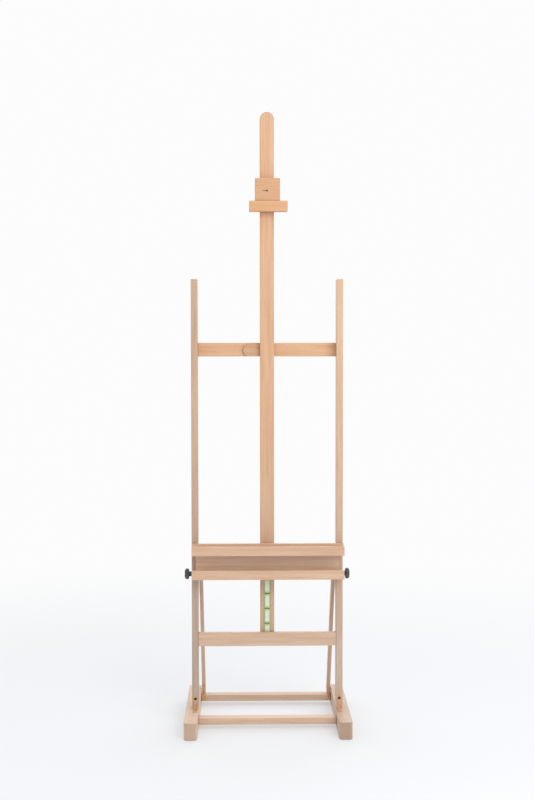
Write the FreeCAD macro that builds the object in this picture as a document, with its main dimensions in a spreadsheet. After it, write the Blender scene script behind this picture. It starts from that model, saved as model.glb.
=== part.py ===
import FreeCAD, Part
import os
import re

import Sketcher
from FreeCAD import Placement, Rotation, Vector

# Studio easel of solid beech.  Two feet and two crossbars make the base.  An H-shaped frame
# stands on two hinges at the front, and two struts hold it from behind.  A mast slides in the
# frame, carries the tray and the toothed rack, and takes the sliding canvas clamp at its top.
#
# Millimetres.  X to the right, Y to the back, Z up, origin on the floor under the middle.

DIMENSIONS = [
    ("foot_inner", 263, "inner face of each foot"),
    ("foot_width", 50, ""),
    ("foot_length", 500, ""),
    ("foot_height", 65, ""),
    ("foot_corner", 14, "radius of the upright corners of a foot"),
    ("edge_round", 2, "eased edges of the timber"),
    ("fine_round", 1.2, "eased edges of the thin boards"),
    ("crossbar_height", 25, ""),
    ("crossbar_depth", 42, ""),
    ("crossbar_bottom", 15, ""),
    ("crossbar_front", -114, "front face of the front crossbar"),
    ("crossbar_rear", 188, "front face of the rear crossbar"),
    ("lag_head", 6, "head of the bolts that hold the crossbars"),
    ("lag_shank", 3.25, ""),
    ("lag_dome", 3, ""),
    ("lag_sink", 4, "underside of the head below the face of the foot"),
    ("lag_grip", 40, "thread in the end of the crossbar"),
    ("upright_outer", 288, "outer face of each upright"),
    ("upright_width", 25, ""),
    ("upright_depth", 50, ""),
    ("upright_front", -85, ""),
    ("upright_bottom", 70, ""),
    ("upright_heel", 9, "how far the sole of an upright rises to its back"),
    ("upright_top", 1708, ""),
    ("rail_thick", 18, ""),
    ("rail_setback", 1, "lower rail behind the front of the uprights"),
    ("upper_rail_bottom", 1416, ""),
    ("upper_rail_height", 52, ""),
    ("lower_rail_bottom", 310, ""),
    ("lower_rail_height", 52, ""),
    ("dowel_radius", 2.5, "dowels of the lower rail"),
    ("dowel_length", 45, ""),
    ("dowel_depth", 5.4, "behind the face of the rail, clear of the rack groove"),
    ("dowel_start", 20, "outer end of a dowel from the inner face of its upright"),
    ("keeper_side", 18, "width of each side wall of the mast keeper"),
    ("keeper_back", 12, "its back wall"),
    ("keeper_height", 34, ""),
    ("keeper_rise", 4, "above the underside of the lower rail"),
    ("mast_width", 54, ""),
    ("mast_thick", 20, ""),
    ("mast_bottom", 312, ""),
    ("mast_top", 2337, ""),
    ("slide_gap", 0.5, "play between pieces that slide"),
    ("groove_mouth", 9, "T-groove in the back of the mast"),
    ("groove_width", 17, ""),
    ("groove_lip", 4.5, ""),
    ("groove_depth", 11, ""),
    ("groove_top", 1640, ""),
    ("bolt_head", 14, "square head of the bolt in that groove"),
    ("bolt_head_thick", 5, ""),
    ("bolt_head_gap", 0.4, "from the head to the lips of the groove"),
    ("bolt_end", 12, "bolt behind the upper rail"),
    ("bolt_drop", 2, "bolt below the middle of the upper rail"),
    ("nut_radius", 7.5, ""),
    ("nut_thick", 6.5, ""),
    ("nut_washer_radius", 10, ""),
    ("nut_washer_thick", 1.6, ""),
    ("rack_width", 22, ""),
    ("rack_thin", 1.5, ""),
    ("rack_thick", 4, ""),
    ("rack_pitch", 57.6, ""),
    ("rack_teeth", 4, ""),
    ("rack_bottom", 316, ""),
    ("rack_first", 334.5, "lowest ledge of the rack"),
    ("rack_top", 576, ""),
    ("rack_slot", 26, "width of the groove and the mortise that clear the rack"),
    ("rack_slot_depth", 5, ""),
    ("rack_screw", 11, "length"),
    ("high_screw_face", 2.2, "head of the upper rack screw in front of the mast"),
    ("low_screw_face", 3.2, "head of the lower one"),
    ("rack_screw_high", 548, ""),
    ("rack_screw_low", 352, ""),
    ("pawl_height", 319.5, "pivot of the pawl"),
    ("pawl_setback", 75.5, "pivot of the pawl in front of the origin"),
    ("pawl_arm", 15, ""),
    ("pawl_thick", 3.5, ""),
    ("pawl_lean", 4, "degrees, pawl swung clear of the rack"),
    ("pawl_eye", 4, "radius"),
    ("pawl_width", 20, ""),
    ("pawl_pin_radius", 2, ""),
    ("pawl_pin_bore", 2.05, ""),
    ("pawl_pin_length", 44, ""),
    ("mortise_front", 0.5, "room around the pawl in its mortise"),
    ("mortise_back", 1.5, ""),
    ("mortise_below", 2.5, ""),
    ("mortise_above", 1.5, ""),
    ("tray_half", 287.5, "half the length of the tray"),
    ("tray_shift", 2, "middle of the tray to the right of the mast"),
    ("tray_board_half", 272, "half the length of its back board"),
    ("tray_front", -150, ""),
    ("tray_back", -88, ""),
    ("tray_board", 12, "thickness of the boards of the tray"),
    ("shelf_bottom", 577, ""),
    ("shelf_lip", 35, ""),
    ("channel_bottom", 667, ""),
    ("channel_lip", 35, ""),
    ("fence_height", 39, ""),
    ("spacer_overlap", 36, "spacer above the underside of the fence"),
    ("spacer_rise", 4, "spacer above the underside of the shelf"),
    ("nail_radius", 1.25, "pins that join the boards of the tray"),
    ("nail_length", 30, ""),
    ("nail_sink", 3, ""),
    ("nail_column_outer", 225, "columns of pins, from the middle of the mast"),
    ("nail_column_inner", 75, ""),
    ("clamp_half", 47, "half the width of the clamp block"),
    ("block_shift", 2, "middle of the block to the right of the mast"),
    ("clamp_bottom", 2000, ""),
    ("clamp_height", 85, ""),
    ("clamp_front", -98, ""),
    ("clamp_plate", 18, ""),
    ("clamp_axis", 45, "clamp screw above the underside of the block"),
    ("face_screw_rise", 38, "dark screw above the underside of the block"),
    ("insert_radius", 6, "threaded insert of the clamp"),
    ("stud_bite", 0.2, "clamp screw in front of the plate"),
    ("hub_gap", 3, "from the plate to the hub of its knob"),
    ("stud_grip", 18, "clamp screw inside the knob"),
    ("bar_half", 72.5, "half the length of the clamp bar"),
    ("bar_shift", 5, "middle of the bar to the right of the mast"),
    ("bar_height", 39, ""),
    ("bar_front", -104, ""),
    ("bar_rebate", 8, "height of the rebate that takes the edge of the canvas"),
    ("bar_rebate_front", 8, "wood in front of it"),
    ("bar_rebate_back", 22, ""),
    ("bar_screw_apart", 30, ""),
    ("bar_screw_depth", 30, ""),
    ("bar_screw_sink", 10, ""),
    ("lever_reach", 91, "pivot to the tip of the lever"),
    ("lever_height", 48, ""),
    ("lever_thick", 9.5, ""),
    ("lever_insert", 7, "radius of the metal insert"),
    ("bolt_radius", 4, ""),
    ("bolt_bore", 4.05, ""),
    ("tilt_depth", -62, "tilt bolt, front to back"),
    ("tilt_height", 585, "tilt bolt, above the floor"),
    ("tilt_slot_low", 569.5, ""),
    ("tilt_slot_high", 640.5, ""),
    ("tilt_slot_width", 12.6, ""),
    ("strut_inner", 246, ""),
    ("strut_thick", 14, ""),
    ("strut_width", 30, ""),
    ("strut_length", 595.5, "tilt bolt to the lower end"),
    ("strut_lean", 26.94, "degrees from upright"),
    ("tilt_head", 9, "head of the tilt bolt"),
    ("tilt_head_thick", 4, ""),
    ("tilt_bolt_end", 19, "bolt inside the knob"),
    ("tilt_washer", 11, "radius"),
    ("tilt_washer_outer", 1.3, "thickness of the washer under the knob"),
    ("tilt_washer_inner", 2.6, "thickness of the washer beside the strut"),
    ("washer_gap", 0.4, "play between washer and upright"),
    ("knob_radius", 21, ""),
    ("knob_thick", 16, ""),
    ("hub_radius", 9.5, ""),
    ("hub_length", 9, ""),
    ("knob_bore", 20, "depth of the blind bore"),
    ("flute_radius", 6, ""),
    ("flute_offset", 4, "centre of a flute outside the rim"),
    ("knob_start", 290, "inner end of the hub of a side knob"),
    ("leaf_thick", 1.6, "hinge leaves"),
    ("leaf_width", 14, ""),
    ("slim_leaf", 11.5, "width of the leaves on the uprights"),
    ("knuckle_radius", 3, ""),
    ("knuckle_length", 14, ""),
    ("knuckle_middle", 5, ""),
    ("knuckle_gap", 0.3, "play between knuckles"),
    ("foot_leaf", 32, "from the hinge pin to the end of the leaf on the foot"),
    ("foot_leaf_gap", 0.4, "between that leaf and the knuckles of the frame"),
    ("frame_leaf", 43, ""),
    ("strut_leaf", 42, ""),
    ("bar_leaf", 20, "on the top of the rear crossbar"),
    ("knuckle_offset", 3.2, "hinge pin in front of the face that its leaf lies on"),
    ("pin_radius", 1.5, ""),
    ("pin_bore", 1.55, ""),
    ("tilt_axis_height", 68.2, ""),
    ("strut_axis_depth", 192, ""),
    ("strut_axis_height", 45, ""),
    ("screw_radius", 1.75, ""),
    ("screw_head", 3.5, ""),
    ("screw_dome", 1.4, ""),
    ("hinge_screw", 16, "length"),
    ("leaf_screw_low", 84, "screws of the leaves on the uprights, above the floor"),
    ("leaf_screw_high", 108, ""),
    ("foot_screw_near", -100, "screws of the leaves on the feet, front to back"),
    ("foot_screw_far", -113, ""),
    ("crossbar_screw_low", 22, "screws of the leaves on the rear crossbar, above the floor"),
    ("crossbar_screw_high", 33, ""),
    ("strut_screw_low", 14, "screws of the leaves on the struts, above the end of the strut"),
    ("strut_screw_high", 34, ""),
    ("wide_head", 5.5, "upper screw of the hinge leaf on each upright"),
    ("stout_head", 4, "screws of the rails, the tray and the clamp"),
    ("stout_shank", 2.25, ""),
    ("stout_dome", 1.6, ""),
    ("flat_dome", 1.2, "the same screws where the head is sunk"),
    ("low_dome", 0.8, "head of the rack screws and of the screw in the clamp block"),
    ("rail_screw", 45, ""),
    ("rail_fixing_low", 13, "screws and dowels of a rail, above its underside"),
    ("rail_fixing_high", 39, ""),
    ("keeper_screw_low", 12, "screws of the mast keeper, above the underside of the rail"),
    ("keeper_screw_high", 30, ""),
    ("tray_screw", 48, ""),
    ("tray_screw_apart", 18, ""),
    ("tray_screw_low", 608, "screws through the mast into the tray, above the floor"),
    ("tray_screw_middle", 652, ""),
    ("tray_screw_high", 694, ""),
    ("tray_screw_sink", 1.7, ""),
    ("clamp_screw", 58, ""),
    ("clamp_screw_inset", 10, "from the side of the clamp block"),
    ("clamp_screw_low", 15, "above the underside of the block"),
    ("clamp_screw_high", 70, ""),
    ("clamp_screw_sink", 1.6, ""),
    ("face_screw", 20, ""),
]

UP = Rotation()
DOWN = Rotation(Vector(1, 0, 0), 180)
FRONT = Rotation(Vector(1, 0, 0), 90)
BACK = Rotation(Vector(1, 0, 0), -90)
RIGHT = Rotation(Vector(0, 1, 0), 90)
LEFT = Rotation(Vector(0, 1, 0), -90)
SIDES = (("left", -1, LEFT, RIGHT), ("right", 1, RIGHT, LEFT))
RECESS = 12
OVERSHOOT = 1

doc = FreeCAD.newDocument("studio_easel")
sheet = doc.addObject("Spreadsheet::Sheet", "Sizes")
for row, (alias, number, note) in enumerate(DIMENSIONS, start=1):
    sheet.set("A%d" % row, alias.replace("_", " "))
    sheet.set("B%d" % row, str(number))
    sheet.set("C%d" % row, note)
    sheet.setAlias("B%d" % row, alias)
doc.recompute()

nodes = []


# ---------------------------------------------------------------- helpers

def size(alias):
    return float(sheet.get(alias))


def bind(thing, prop, formula):
    """Bind a property to a formula whose words are cells of the sheet."""
    thing.setExpression(prop, re.sub(r"([a-z]\w+)", r"Sizes.\1", str(formula)))


def seat(thing, corner, turn=UP):
    """Place an object at three formulas, turned by a fixed rotation."""
    thing.Placement = Placement(Vector(), turn)
    for axis, formula in zip("xyz", corner):
        bind(thing, "Placement.Base." + axis, formula)
    return thing


def keep(thing):
    """Note an object as a finished sub-part."""
    nodes.append(thing)
    return thing


def outline(sketch, points):
    """A closed polygon with every corner bound to a pair of formulas, none of them negative."""
    rough = [Vector(10 * number, 7 * number * number, 0) for number in range(len(points))]
    for start, end in zip(rough, rough[1:] + rough[:1]):
        sketch.addGeometry(Part.LineSegment(start, end), False)
    for edge in range(len(points)):
        follower = (edge + 1) % len(points)
        sketch.addConstraint(Sketcher.Constraint("Coincident", edge, 2, follower, 1))
    for edge, corner in enumerate(points):
        for kind, axis, formula in zip(("DistanceX", "DistanceY"), (-2, -1), corner):
            if str(formula) == "0":
                sketch.addConstraint(Sketcher.Constraint("PointOnObject", edge, 1, axis))
                continue
            number = sketch.addConstraint(Sketcher.Constraint(kind, -1, 1, edge, 1, 10.0 + edge))
            name = "%s%d" % (kind, edge)
            sketch.renameConstraint(number, name)
            bind(sketch, "Constraints." + name, formula)


def profile(label, plane, points, length, rounding=None):
    """A body padded from a polygon on one of its own origin planes, with eased edges."""
    body = doc.addObject("PartDesign::Body", label)
    sketch = body.newObject("Sketcher::SketchObject", label + "_outline")
    origin_plane = [item for item in body.Origin.OriginFeatures if item.Role == plane][0]
    sketch.AttachmentSupport = (origin_plane, [""])
    sketch.MapMode = "FlatFace"
    outline(sketch, points)
    pad = body.newObject("PartDesign::Pad", label + "_pad")
    pad.Profile = sketch
    bind(pad, "Length", length)
    doc.recompute()
    if rounding:
        ease = body.newObject("PartDesign::Fillet", label + "_ease")
        ease.Base = (pad, [""])
        ease.UseAllEdges = True
        bind(ease, "Radius", rounding)
        doc.recompute()
    return body


def board(label, corner, lengths, rounding="edge_round"):
    """A straight piece of timber along the three axes."""
    wide, deep, high = lengths
    rectangle = [(0, 0), (wide, 0), (wide, deep), (0, deep)]
    return seat(profile(label, "XY_Plane", rectangle, high, rounding), corner)


def block(label, corner, lengths):
    box = doc.addObject("Part::Box", label)
    for prop, formula in zip(("Length", "Width", "Height"), lengths):
        bind(box, prop, formula)
    return seat(box, corner)


def rod(label, start, turn, radius, length):
    cylinder = doc.addObject("Part::Cylinder", label)
    bind(cylinder, "Radius", radius)
    bind(cylinder, "Height", length)
    return seat(cylinder, start, turn)


def fuse(label, parts):
    joined = doc.addObject("Part::MultiFuse", label)
    joined.Shapes = parts
    return joined


def cut(label, base, tools):
    """Take the tools out of the base; the tools stay as they are."""
    removed = doc.addObject("Part::Cut", label)
    removed.Base = base
    removed.Tool = tools[0] if len(tools) == 1 else fuse(label + "_tools", tools)
    return removed


def screw(label, point, turn, length, head="screw_head", shank="screw_radius", dome="screw_dome"):
    """A wood screw: the head stands on the point, the shank goes in behind it."""
    inward = turn.multiply(DOWN)
    stem = rod(label + "_shank", point, inward, shank, length)
    cap = rod(label + "_head", point, turn, head, dome)
    return fuse(label, [stem, cap])


def screw_group(label, points, turn, length, **sizes):
    """A separate solid for each screw of a kind, in one object."""
    made = [screw("%s_%d" % (label, number), point, turn, length, **sizes)
            for number, point in enumerate(points, start=1)]
    return fuse(label, made)


def stout_screws(label, points, turn, length, dome):
    return screw_group(label, points, turn, length, head="stout_head", shank="stout_shank", dome=dome)


def recess_group(label, points, turn, radius):
    """Room for screw heads below a face, open towards the way the heads look."""
    return fuse(label, [rod("%s_%d" % (label, number), point, turn, radius, RECESS)
                        for number, point in enumerate(points, start=1)])


def mirrored(side, inner, width):
    """Low X of a piece that lies from inner to inner + width on the given side."""
    return inner if side > 0 else "-(%s) - (%s)" % (inner, width)


# ---------------------------------------------------------------- base

def make_foot(word, side):
    corner = (mirrored(side, "foot_inner", "foot_width"), "-foot_length / 2", 0)
    body = seat(profile("foot_%s_blank" % word, "XY_Plane",
                        [(0, 0), ("foot_width", 0), ("foot_width", "foot_length"), (0, "foot_length")],
                        "foot_height"), corner)
    pad = body.Tip
    standing = ["Edge%d" % number for number, edge in enumerate(pad.Shape.Edges, start=1)
                if abs(edge.tangentAt(edge.FirstParameter).z) > 0.9]
    round_corners = body.newObject("PartDesign::Fillet", "foot_%s_corners" % word)
    round_corners.Base = (pad, standing)
    bind(round_corners, "Radius", "foot_corner")
    doc.recompute()
    rims = ["Edge%d" % number for number, edge in enumerate(round_corners.Shape.Edges, start=1)
            if abs(edge.tangentAt(edge.FirstParameter).z) < 0.1]
    ease = body.newObject("PartDesign::Fillet", "foot_%s_ease" % word)
    ease.Base = (round_corners, rims)
    bind(ease, "Radius", "edge_round")
    doc.recompute()
    return body


def make_base():
    blanks = {word: make_foot(word, side) for word, side, *_ in SIDES}
    bars = {}
    for name in ("crossbar_front", "crossbar_rear"):
        bars[name] = board(name + "_blank", ("-foot_inner", name, "crossbar_bottom"),
                           ("2 * foot_inner", "crossbar_depth", "crossbar_height"))
    bolts = []
    pockets = []
    for word, side, outward, inward in SIDES:
        for name in ("crossbar_front", "crossbar_rear"):
            centre = ("%d * (foot_inner + foot_width - lag_sink)" % side, name + " + crossbar_depth / 2",
                      "crossbar_bottom + crossbar_height / 2")
            bolts.append(screw("bolt_%s_%s" % (word, name), centre, outward, "foot_width + lag_grip",
                               head="lag_head", shank="lag_shank", dome="lag_dome"))
            pockets.append(rod("counterbore_%s_%s" % (word, name), centre, outward, "lag_head", RECESS))
    bolt_node = keep(fuse("crossbar_bolts", bolts))
    counterbores = fuse("counterbores", pockets)

    foot_screws = screw_group("foot_hinge_screws",
                              [("%d * (upright_outer - upright_width / 2)" % side, depth,
                                "foot_height + leaf_thick")
                               for _, side, *_ in SIDES for depth in ("foot_screw_near", "foot_screw_far")],
                              UP, "hinge_screw")
    strut_screws = screw_group("crossbar_hinge_screws",
                               [("%d * (strut_inner + strut_thick / 2)" % side,
                                 "crossbar_rear - leaf_thick", height)
                                for _, side, *_ in SIDES for height in ("crossbar_screw_low", "crossbar_screw_high")],
                               FRONT, "hinge_screw")
    keep(fuse("base_hinge_screws", [foot_screws, strut_screws]))
    for word, side, *_ in SIDES:
        keep(cut("foot_" + word, blanks[word], [bolt_node, counterbores, foot_screws]))
    keep(cut("crossbar_front", bars["crossbar_front"], [bolt_node]))
    keep(cut("crossbar_rear", bars["crossbar_rear"], [bolt_node, strut_screws]))

    pins = []
    for word, side, *_ in SIDES:
        start = "%d * (upright_outer - upright_width / 2) - knuckle_length / 2" % side
        pins.append(rod("tilt_pin_" + word, (start, "upright_front - knuckle_offset", "tilt_axis_height"),
                        RIGHT, "pin_radius", "knuckle_length"))
    tilt_pins = keep(fuse("foot_hinge_pins", pins))
    pins = []
    for word, side, *_ in SIDES:
        start = "%d * (strut_inner + strut_thick / 2) - leaf_width / 2" % side
        pins.append(rod("strut_pin_" + word, (start, "strut_axis_depth", "strut_axis_height"),
                        RIGHT, "pin_radius", "leaf_width"))
    strut_pins = keep(fuse("crossbar_hinge_pins", pins))

    foot_leaves = []
    bar_leaves = []
    for word, side, *_ in SIDES:
        middle = "%d * (upright_outer - upright_width / 2)" % side
        axis_y = "upright_front - knuckle_offset"
        knuckle = rod("foot_knuckle_" + word, (middle + " - knuckle_middle / 2", axis_y, "tilt_axis_height"),
                      RIGHT, "knuckle_radius", "knuckle_middle")
        plate = block("foot_plate_" + word, (middle + " - leaf_width / 2", axis_y + " - foot_leaf", "foot_height"),
                      ("leaf_width", "foot_leaf - knuckle_radius - foot_leaf_gap", "leaf_thick"))
        tongue = block("foot_tongue_" + word,
                       (middle + " - knuckle_middle / 2", axis_y + " - knuckle_radius - foot_leaf_gap",
                        "foot_height"),
                       ("knuckle_middle", "knuckle_radius + foot_leaf_gap", "leaf_thick"))
        foot_leaves.append(fuse("foot_leaf_" + word, [knuckle, plate, tongue]))

        middle = "%d * (strut_inner + strut_thick / 2)" % side
        knuckle = rod("bar_knuckle_" + word,
                      (middle + " - knuckle_middle / 2", "strut_axis_depth", "strut_axis_height"),
                      RIGHT, "knuckle_radius", "knuckle_middle")
        web = block("bar_web_" + word,
                    (middle + " - knuckle_middle / 2", "strut_axis_depth - pin_radius",
                     "crossbar_bottom + crossbar_height"),
                    ("knuckle_middle", "2 * pin_radius",
                     "strut_axis_height - crossbar_bottom - crossbar_height"))
        top = block("bar_top_" + word,
                    (middle + " - leaf_width / 2", "crossbar_rear - leaf_thick",
                     "crossbar_bottom + crossbar_height"),
                    ("leaf_width", "bar_leaf + leaf_thick", "leaf_thick"))
        face = block("bar_face_" + word,
                     (middle + " - leaf_width / 2", "crossbar_rear - leaf_thick", "crossbar_bottom + 1"),
                     ("leaf_width", "leaf_thick", "crossbar_height - 1 + leaf_thick"))
        bar_leaves.append(fuse("bar_leaf_" + word, [knuckle, web, top, face]))
    keep(cut("foot_hinge_leaves", fuse("foot_leaf_pair", foot_leaves), [tilt_pins, foot_screws]))
    keep(cut("crossbar_hinge_leaves", fuse("bar_leaf_pair", bar_leaves), [strut_pins, strut_screws]))


# ---------------------------------------------------------------- hinged frame

def make_frame():
    upright_middle = "(upright_outer - upright_width / 2)"
    rail_back = "upright_front + upright_depth + rail_thick"
    leaf_screws = [screw_group(
        "frame_hinge_screws_" + word,
        [("%d * %s" % (side, upright_middle), "upright_front - leaf_thick", height)
         for _, side, *_ in SIDES],
        FRONT, "hinge_screw", head=head)
        for word, height, head in (("low", "leaf_screw_low", "screw_head"),
                                   ("high", "leaf_screw_high", "wide_head"))]
    hinge_screws = keep(fuse("frame_hinge_screws", leaf_screws))
    upper_screws = stout_screws(
        "upper_rail_screws",
        [("%d * %s" % (side, upright_middle), rail_back, "upper_rail_bottom + rail_fixing_" + level)
         for _, side, *_ in SIDES for level in ("low", "high")],
        BACK, "rail_screw", "stout_dome")
    dowels = []
    for word, side, outward, inward in SIDES:
        for level in ("low", "high"):
            start = ("%d * (foot_inner + dowel_start)" % side,
                     "upright_front + rail_setback + dowel_depth", "lower_rail_bottom + rail_fixing_" + level)
            dowels.append(rod("dowel_%s_%s" % (word, level), start, inward, "dowel_radius",
                              "dowel_length"))
    dowel_node = keep(fuse("lower_rail_dowels", dowels))

    for word, side, *_ in SIDES:
        sole = [(0, 0), ("upright_depth", "upright_heel"), ("upright_depth", "upright_top - upright_bottom"),
                (0, "upright_top - upright_bottom")]
        blank = seat(profile("upright_%s_blank" % word, "YZ_Plane", sole, "upright_width", "edge_round"),
                     (mirrored(side, "upright_outer - upright_width", "upright_width"),
                      "upright_front", "upright_bottom"))
        low = mirrored(side, "upright_outer - upright_width - %d" % OVERSHOOT,
                       "upright_width + %d" % (2 * OVERSHOOT))
        slot = [block("slot_middle_" + word, (low, "tilt_depth - tilt_slot_width / 2",
                                              "tilt_slot_low + tilt_slot_width / 2"),
                      ("upright_width + %d" % (2 * OVERSHOOT), "tilt_slot_width",
                       "tilt_slot_high - tilt_slot_low - tilt_slot_width"))]
        for end, height in (("low", "tilt_slot_low + tilt_slot_width / 2"),
                            ("high", "tilt_slot_high - tilt_slot_width / 2")):
            slot.append(rod("slot_%s_%s" % (end, word), (low, "tilt_depth", height), RIGHT,
                            "tilt_slot_width / 2", "upright_width + %d" % (2 * OVERSHOOT)))
        keep(cut("upright_" + word, blank,
                 [fuse("tilt_slot_" + word, slot), hinge_screws, upper_screws, dowel_node]))

    bolt_height = "upper_rail_bottom + upper_rail_height / 2 - bolt_drop"
    head_front = ("upright_front + rail_setback + rail_thick + slide_gap + mast_thick - groove_lip"
                  " - bolt_head_gap - bolt_head_thick")
    shank = rod("mast_bolt_shank", (0, head_front, bolt_height), BACK, "bolt_radius",
                "%s + bolt_end - (%s)" % (rail_back, head_front))
    head = block("mast_bolt_head", ("-bolt_head / 2", head_front, bolt_height + " - bolt_head / 2"),
                 ("bolt_head", "bolt_head_thick", "bolt_head"))
    mast_bolt = keep(fuse("mast_bolt", [head, shank]))
    washer = rod("mast_bolt_washer_blank", (0, rail_back, bolt_height), BACK, "nut_washer_radius",
                 "nut_washer_thick")
    keep(cut("mast_bolt_washer", washer, [mast_bolt]))
    nut = doc.addObject("Part::Prism", "mast_bolt_nut_blank")
    nut.Polygon = 6
    bind(nut, "Circumradius", "nut_radius")
    bind(nut, "Height", "nut_thick")
    seat(nut, (0, rail_back + " + nut_washer_thick", bolt_height), BACK)
    keep(cut("mast_bolt_nut", nut, [mast_bolt]))

    upper = board("upper_rail_blank", ("-upright_outer", "upright_front + upright_depth", "upper_rail_bottom"),
                  ("2 * upright_outer", "rail_thick", "upper_rail_height"))
    keep(cut("upper_rail", upper, [upper_screws, mast_bolt]))

    rail_front = "upright_front + rail_setback"
    lower = board("lower_rail_blank", ("-foot_inner", rail_front, "lower_rail_bottom"),
                  ("2 * foot_inner", "rail_thick", "lower_rail_height"))
    groove = block("rack_groove",
                   ("-rack_slot / 2", rail_front + " + rail_thick - rack_slot_depth",
                    "lower_rail_bottom - %d" % OVERSHOOT),
                   ("rack_slot", "rack_slot_depth + %d" % OVERSHOOT,
                    "lower_rail_height + %d" % (2 * OVERSHOOT)))
    mortise = block("pawl_mortise",
                    ("-rack_slot / 2", "-pawl_setback - pawl_eye - mortise_front",
                     "pawl_height - pawl_eye - mortise_below"),
                    ("rack_slot", "2 * pawl_eye + mortise_front + mortise_back",
                     "pawl_arm + 2 * pawl_eye + mortise_below + mortise_above"))
    pawl_pin = keep(rod("pawl_pin", ("-pawl_pin_length / 2", "-pawl_setback", "pawl_height"), RIGHT,
                        "pawl_pin_radius", "pawl_pin_length"))

    inner = "mast_width / 2 + slide_gap"
    far = "keeper_side + 2 * (%s)" % inner
    width = "2 * keeper_side + 2 * (%s)" % inner
    floor = "mast_thick + 2 * slide_gap"
    channel = [(0, 0), ("keeper_side", 0), ("keeper_side", floor), (far, floor), (far, 0), (width, 0),
               (width, floor + " + keeper_back"), (0, floor + " + keeper_back")]
    keeper = seat(profile("mast_keeper_blank", "XY_Plane", channel, "keeper_height", "fine_round"),
                  ("-keeper_side - (%s)" % inner, rail_front + " + rail_thick",
                   "lower_rail_bottom + keeper_rise"))
    keeper_screws = stout_screws(
        "mast_keeper_screws",
        [("%d * (%s + keeper_side / 2)" % (side, inner),
          "%s + rail_thick + %s + keeper_back" % (rail_front, floor), "lower_rail_bottom + keeper_screw_" + level)
         for _, side, *_ in SIDES for level in ("low", "high")],
        BACK, "rail_screw", "stout_dome")
    keep(fuse("frame_screws", [upper_screws, keeper_screws]))
    keep(cut("mast_keeper", keeper, [keeper_screws]))
    keep(cut("lower_rail", lower, [groove, mortise, pawl_pin, dowel_node, keeper_screws]))

    leaves = []
    for word, side, *_ in SIDES:
        middle = "%d * %s" % (side, upright_middle)
        low = middle + " - knuckle_length / 2"
        axis_y = "upright_front - knuckle_offset"
        reach = "(knuckle_length - knuckle_middle) / 2 - knuckle_gap"
        pieces = []
        for end, start in (("near", low), ("far", middle + " + knuckle_middle / 2 + knuckle_gap")):
            pieces.append(rod("frame_knuckle_%s_%s" % (end, word), (start, axis_y, "tilt_axis_height"),
                              RIGHT, "knuckle_radius", reach))
            pieces.append(block("frame_lug_%s_%s" % (end, word),
                                (start, "upright_front - leaf_thick", "tilt_axis_height"),
                                (reach, "leaf_thick", "knuckle_radius + 2")))
        pieces.append(block("frame_root_" + word,
                            (low, "upright_front - leaf_thick", "tilt_axis_height + knuckle_radius + 0.5"),
                            ("knuckle_length", "leaf_thick", 4)))
        pieces.append(block("frame_plate_" + word,
                            (middle + " - slim_leaf / 2", "upright_front - leaf_thick",
                             "tilt_axis_height + knuckle_radius + 2"),
                            ("slim_leaf", "leaf_thick", "frame_leaf")))
        bore = rod("frame_bore_" + word, (low + " - %d" % OVERSHOOT, axis_y, "tilt_axis_height"), RIGHT,
                   "pin_bore", "knuckle_length + %d" % (2 * OVERSHOOT))
        leaves.append(cut("frame_leaf_" + word, fuse("frame_leaf_%s_blank" % word, pieces), [bore]))
    keep(cut("frame_hinge_leaves", fuse("frame_leaf_pair", leaves), [hinge_screws]))
    return bolt_height


# ---------------------------------------------------------------- struts with their bolts and knobs

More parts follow.
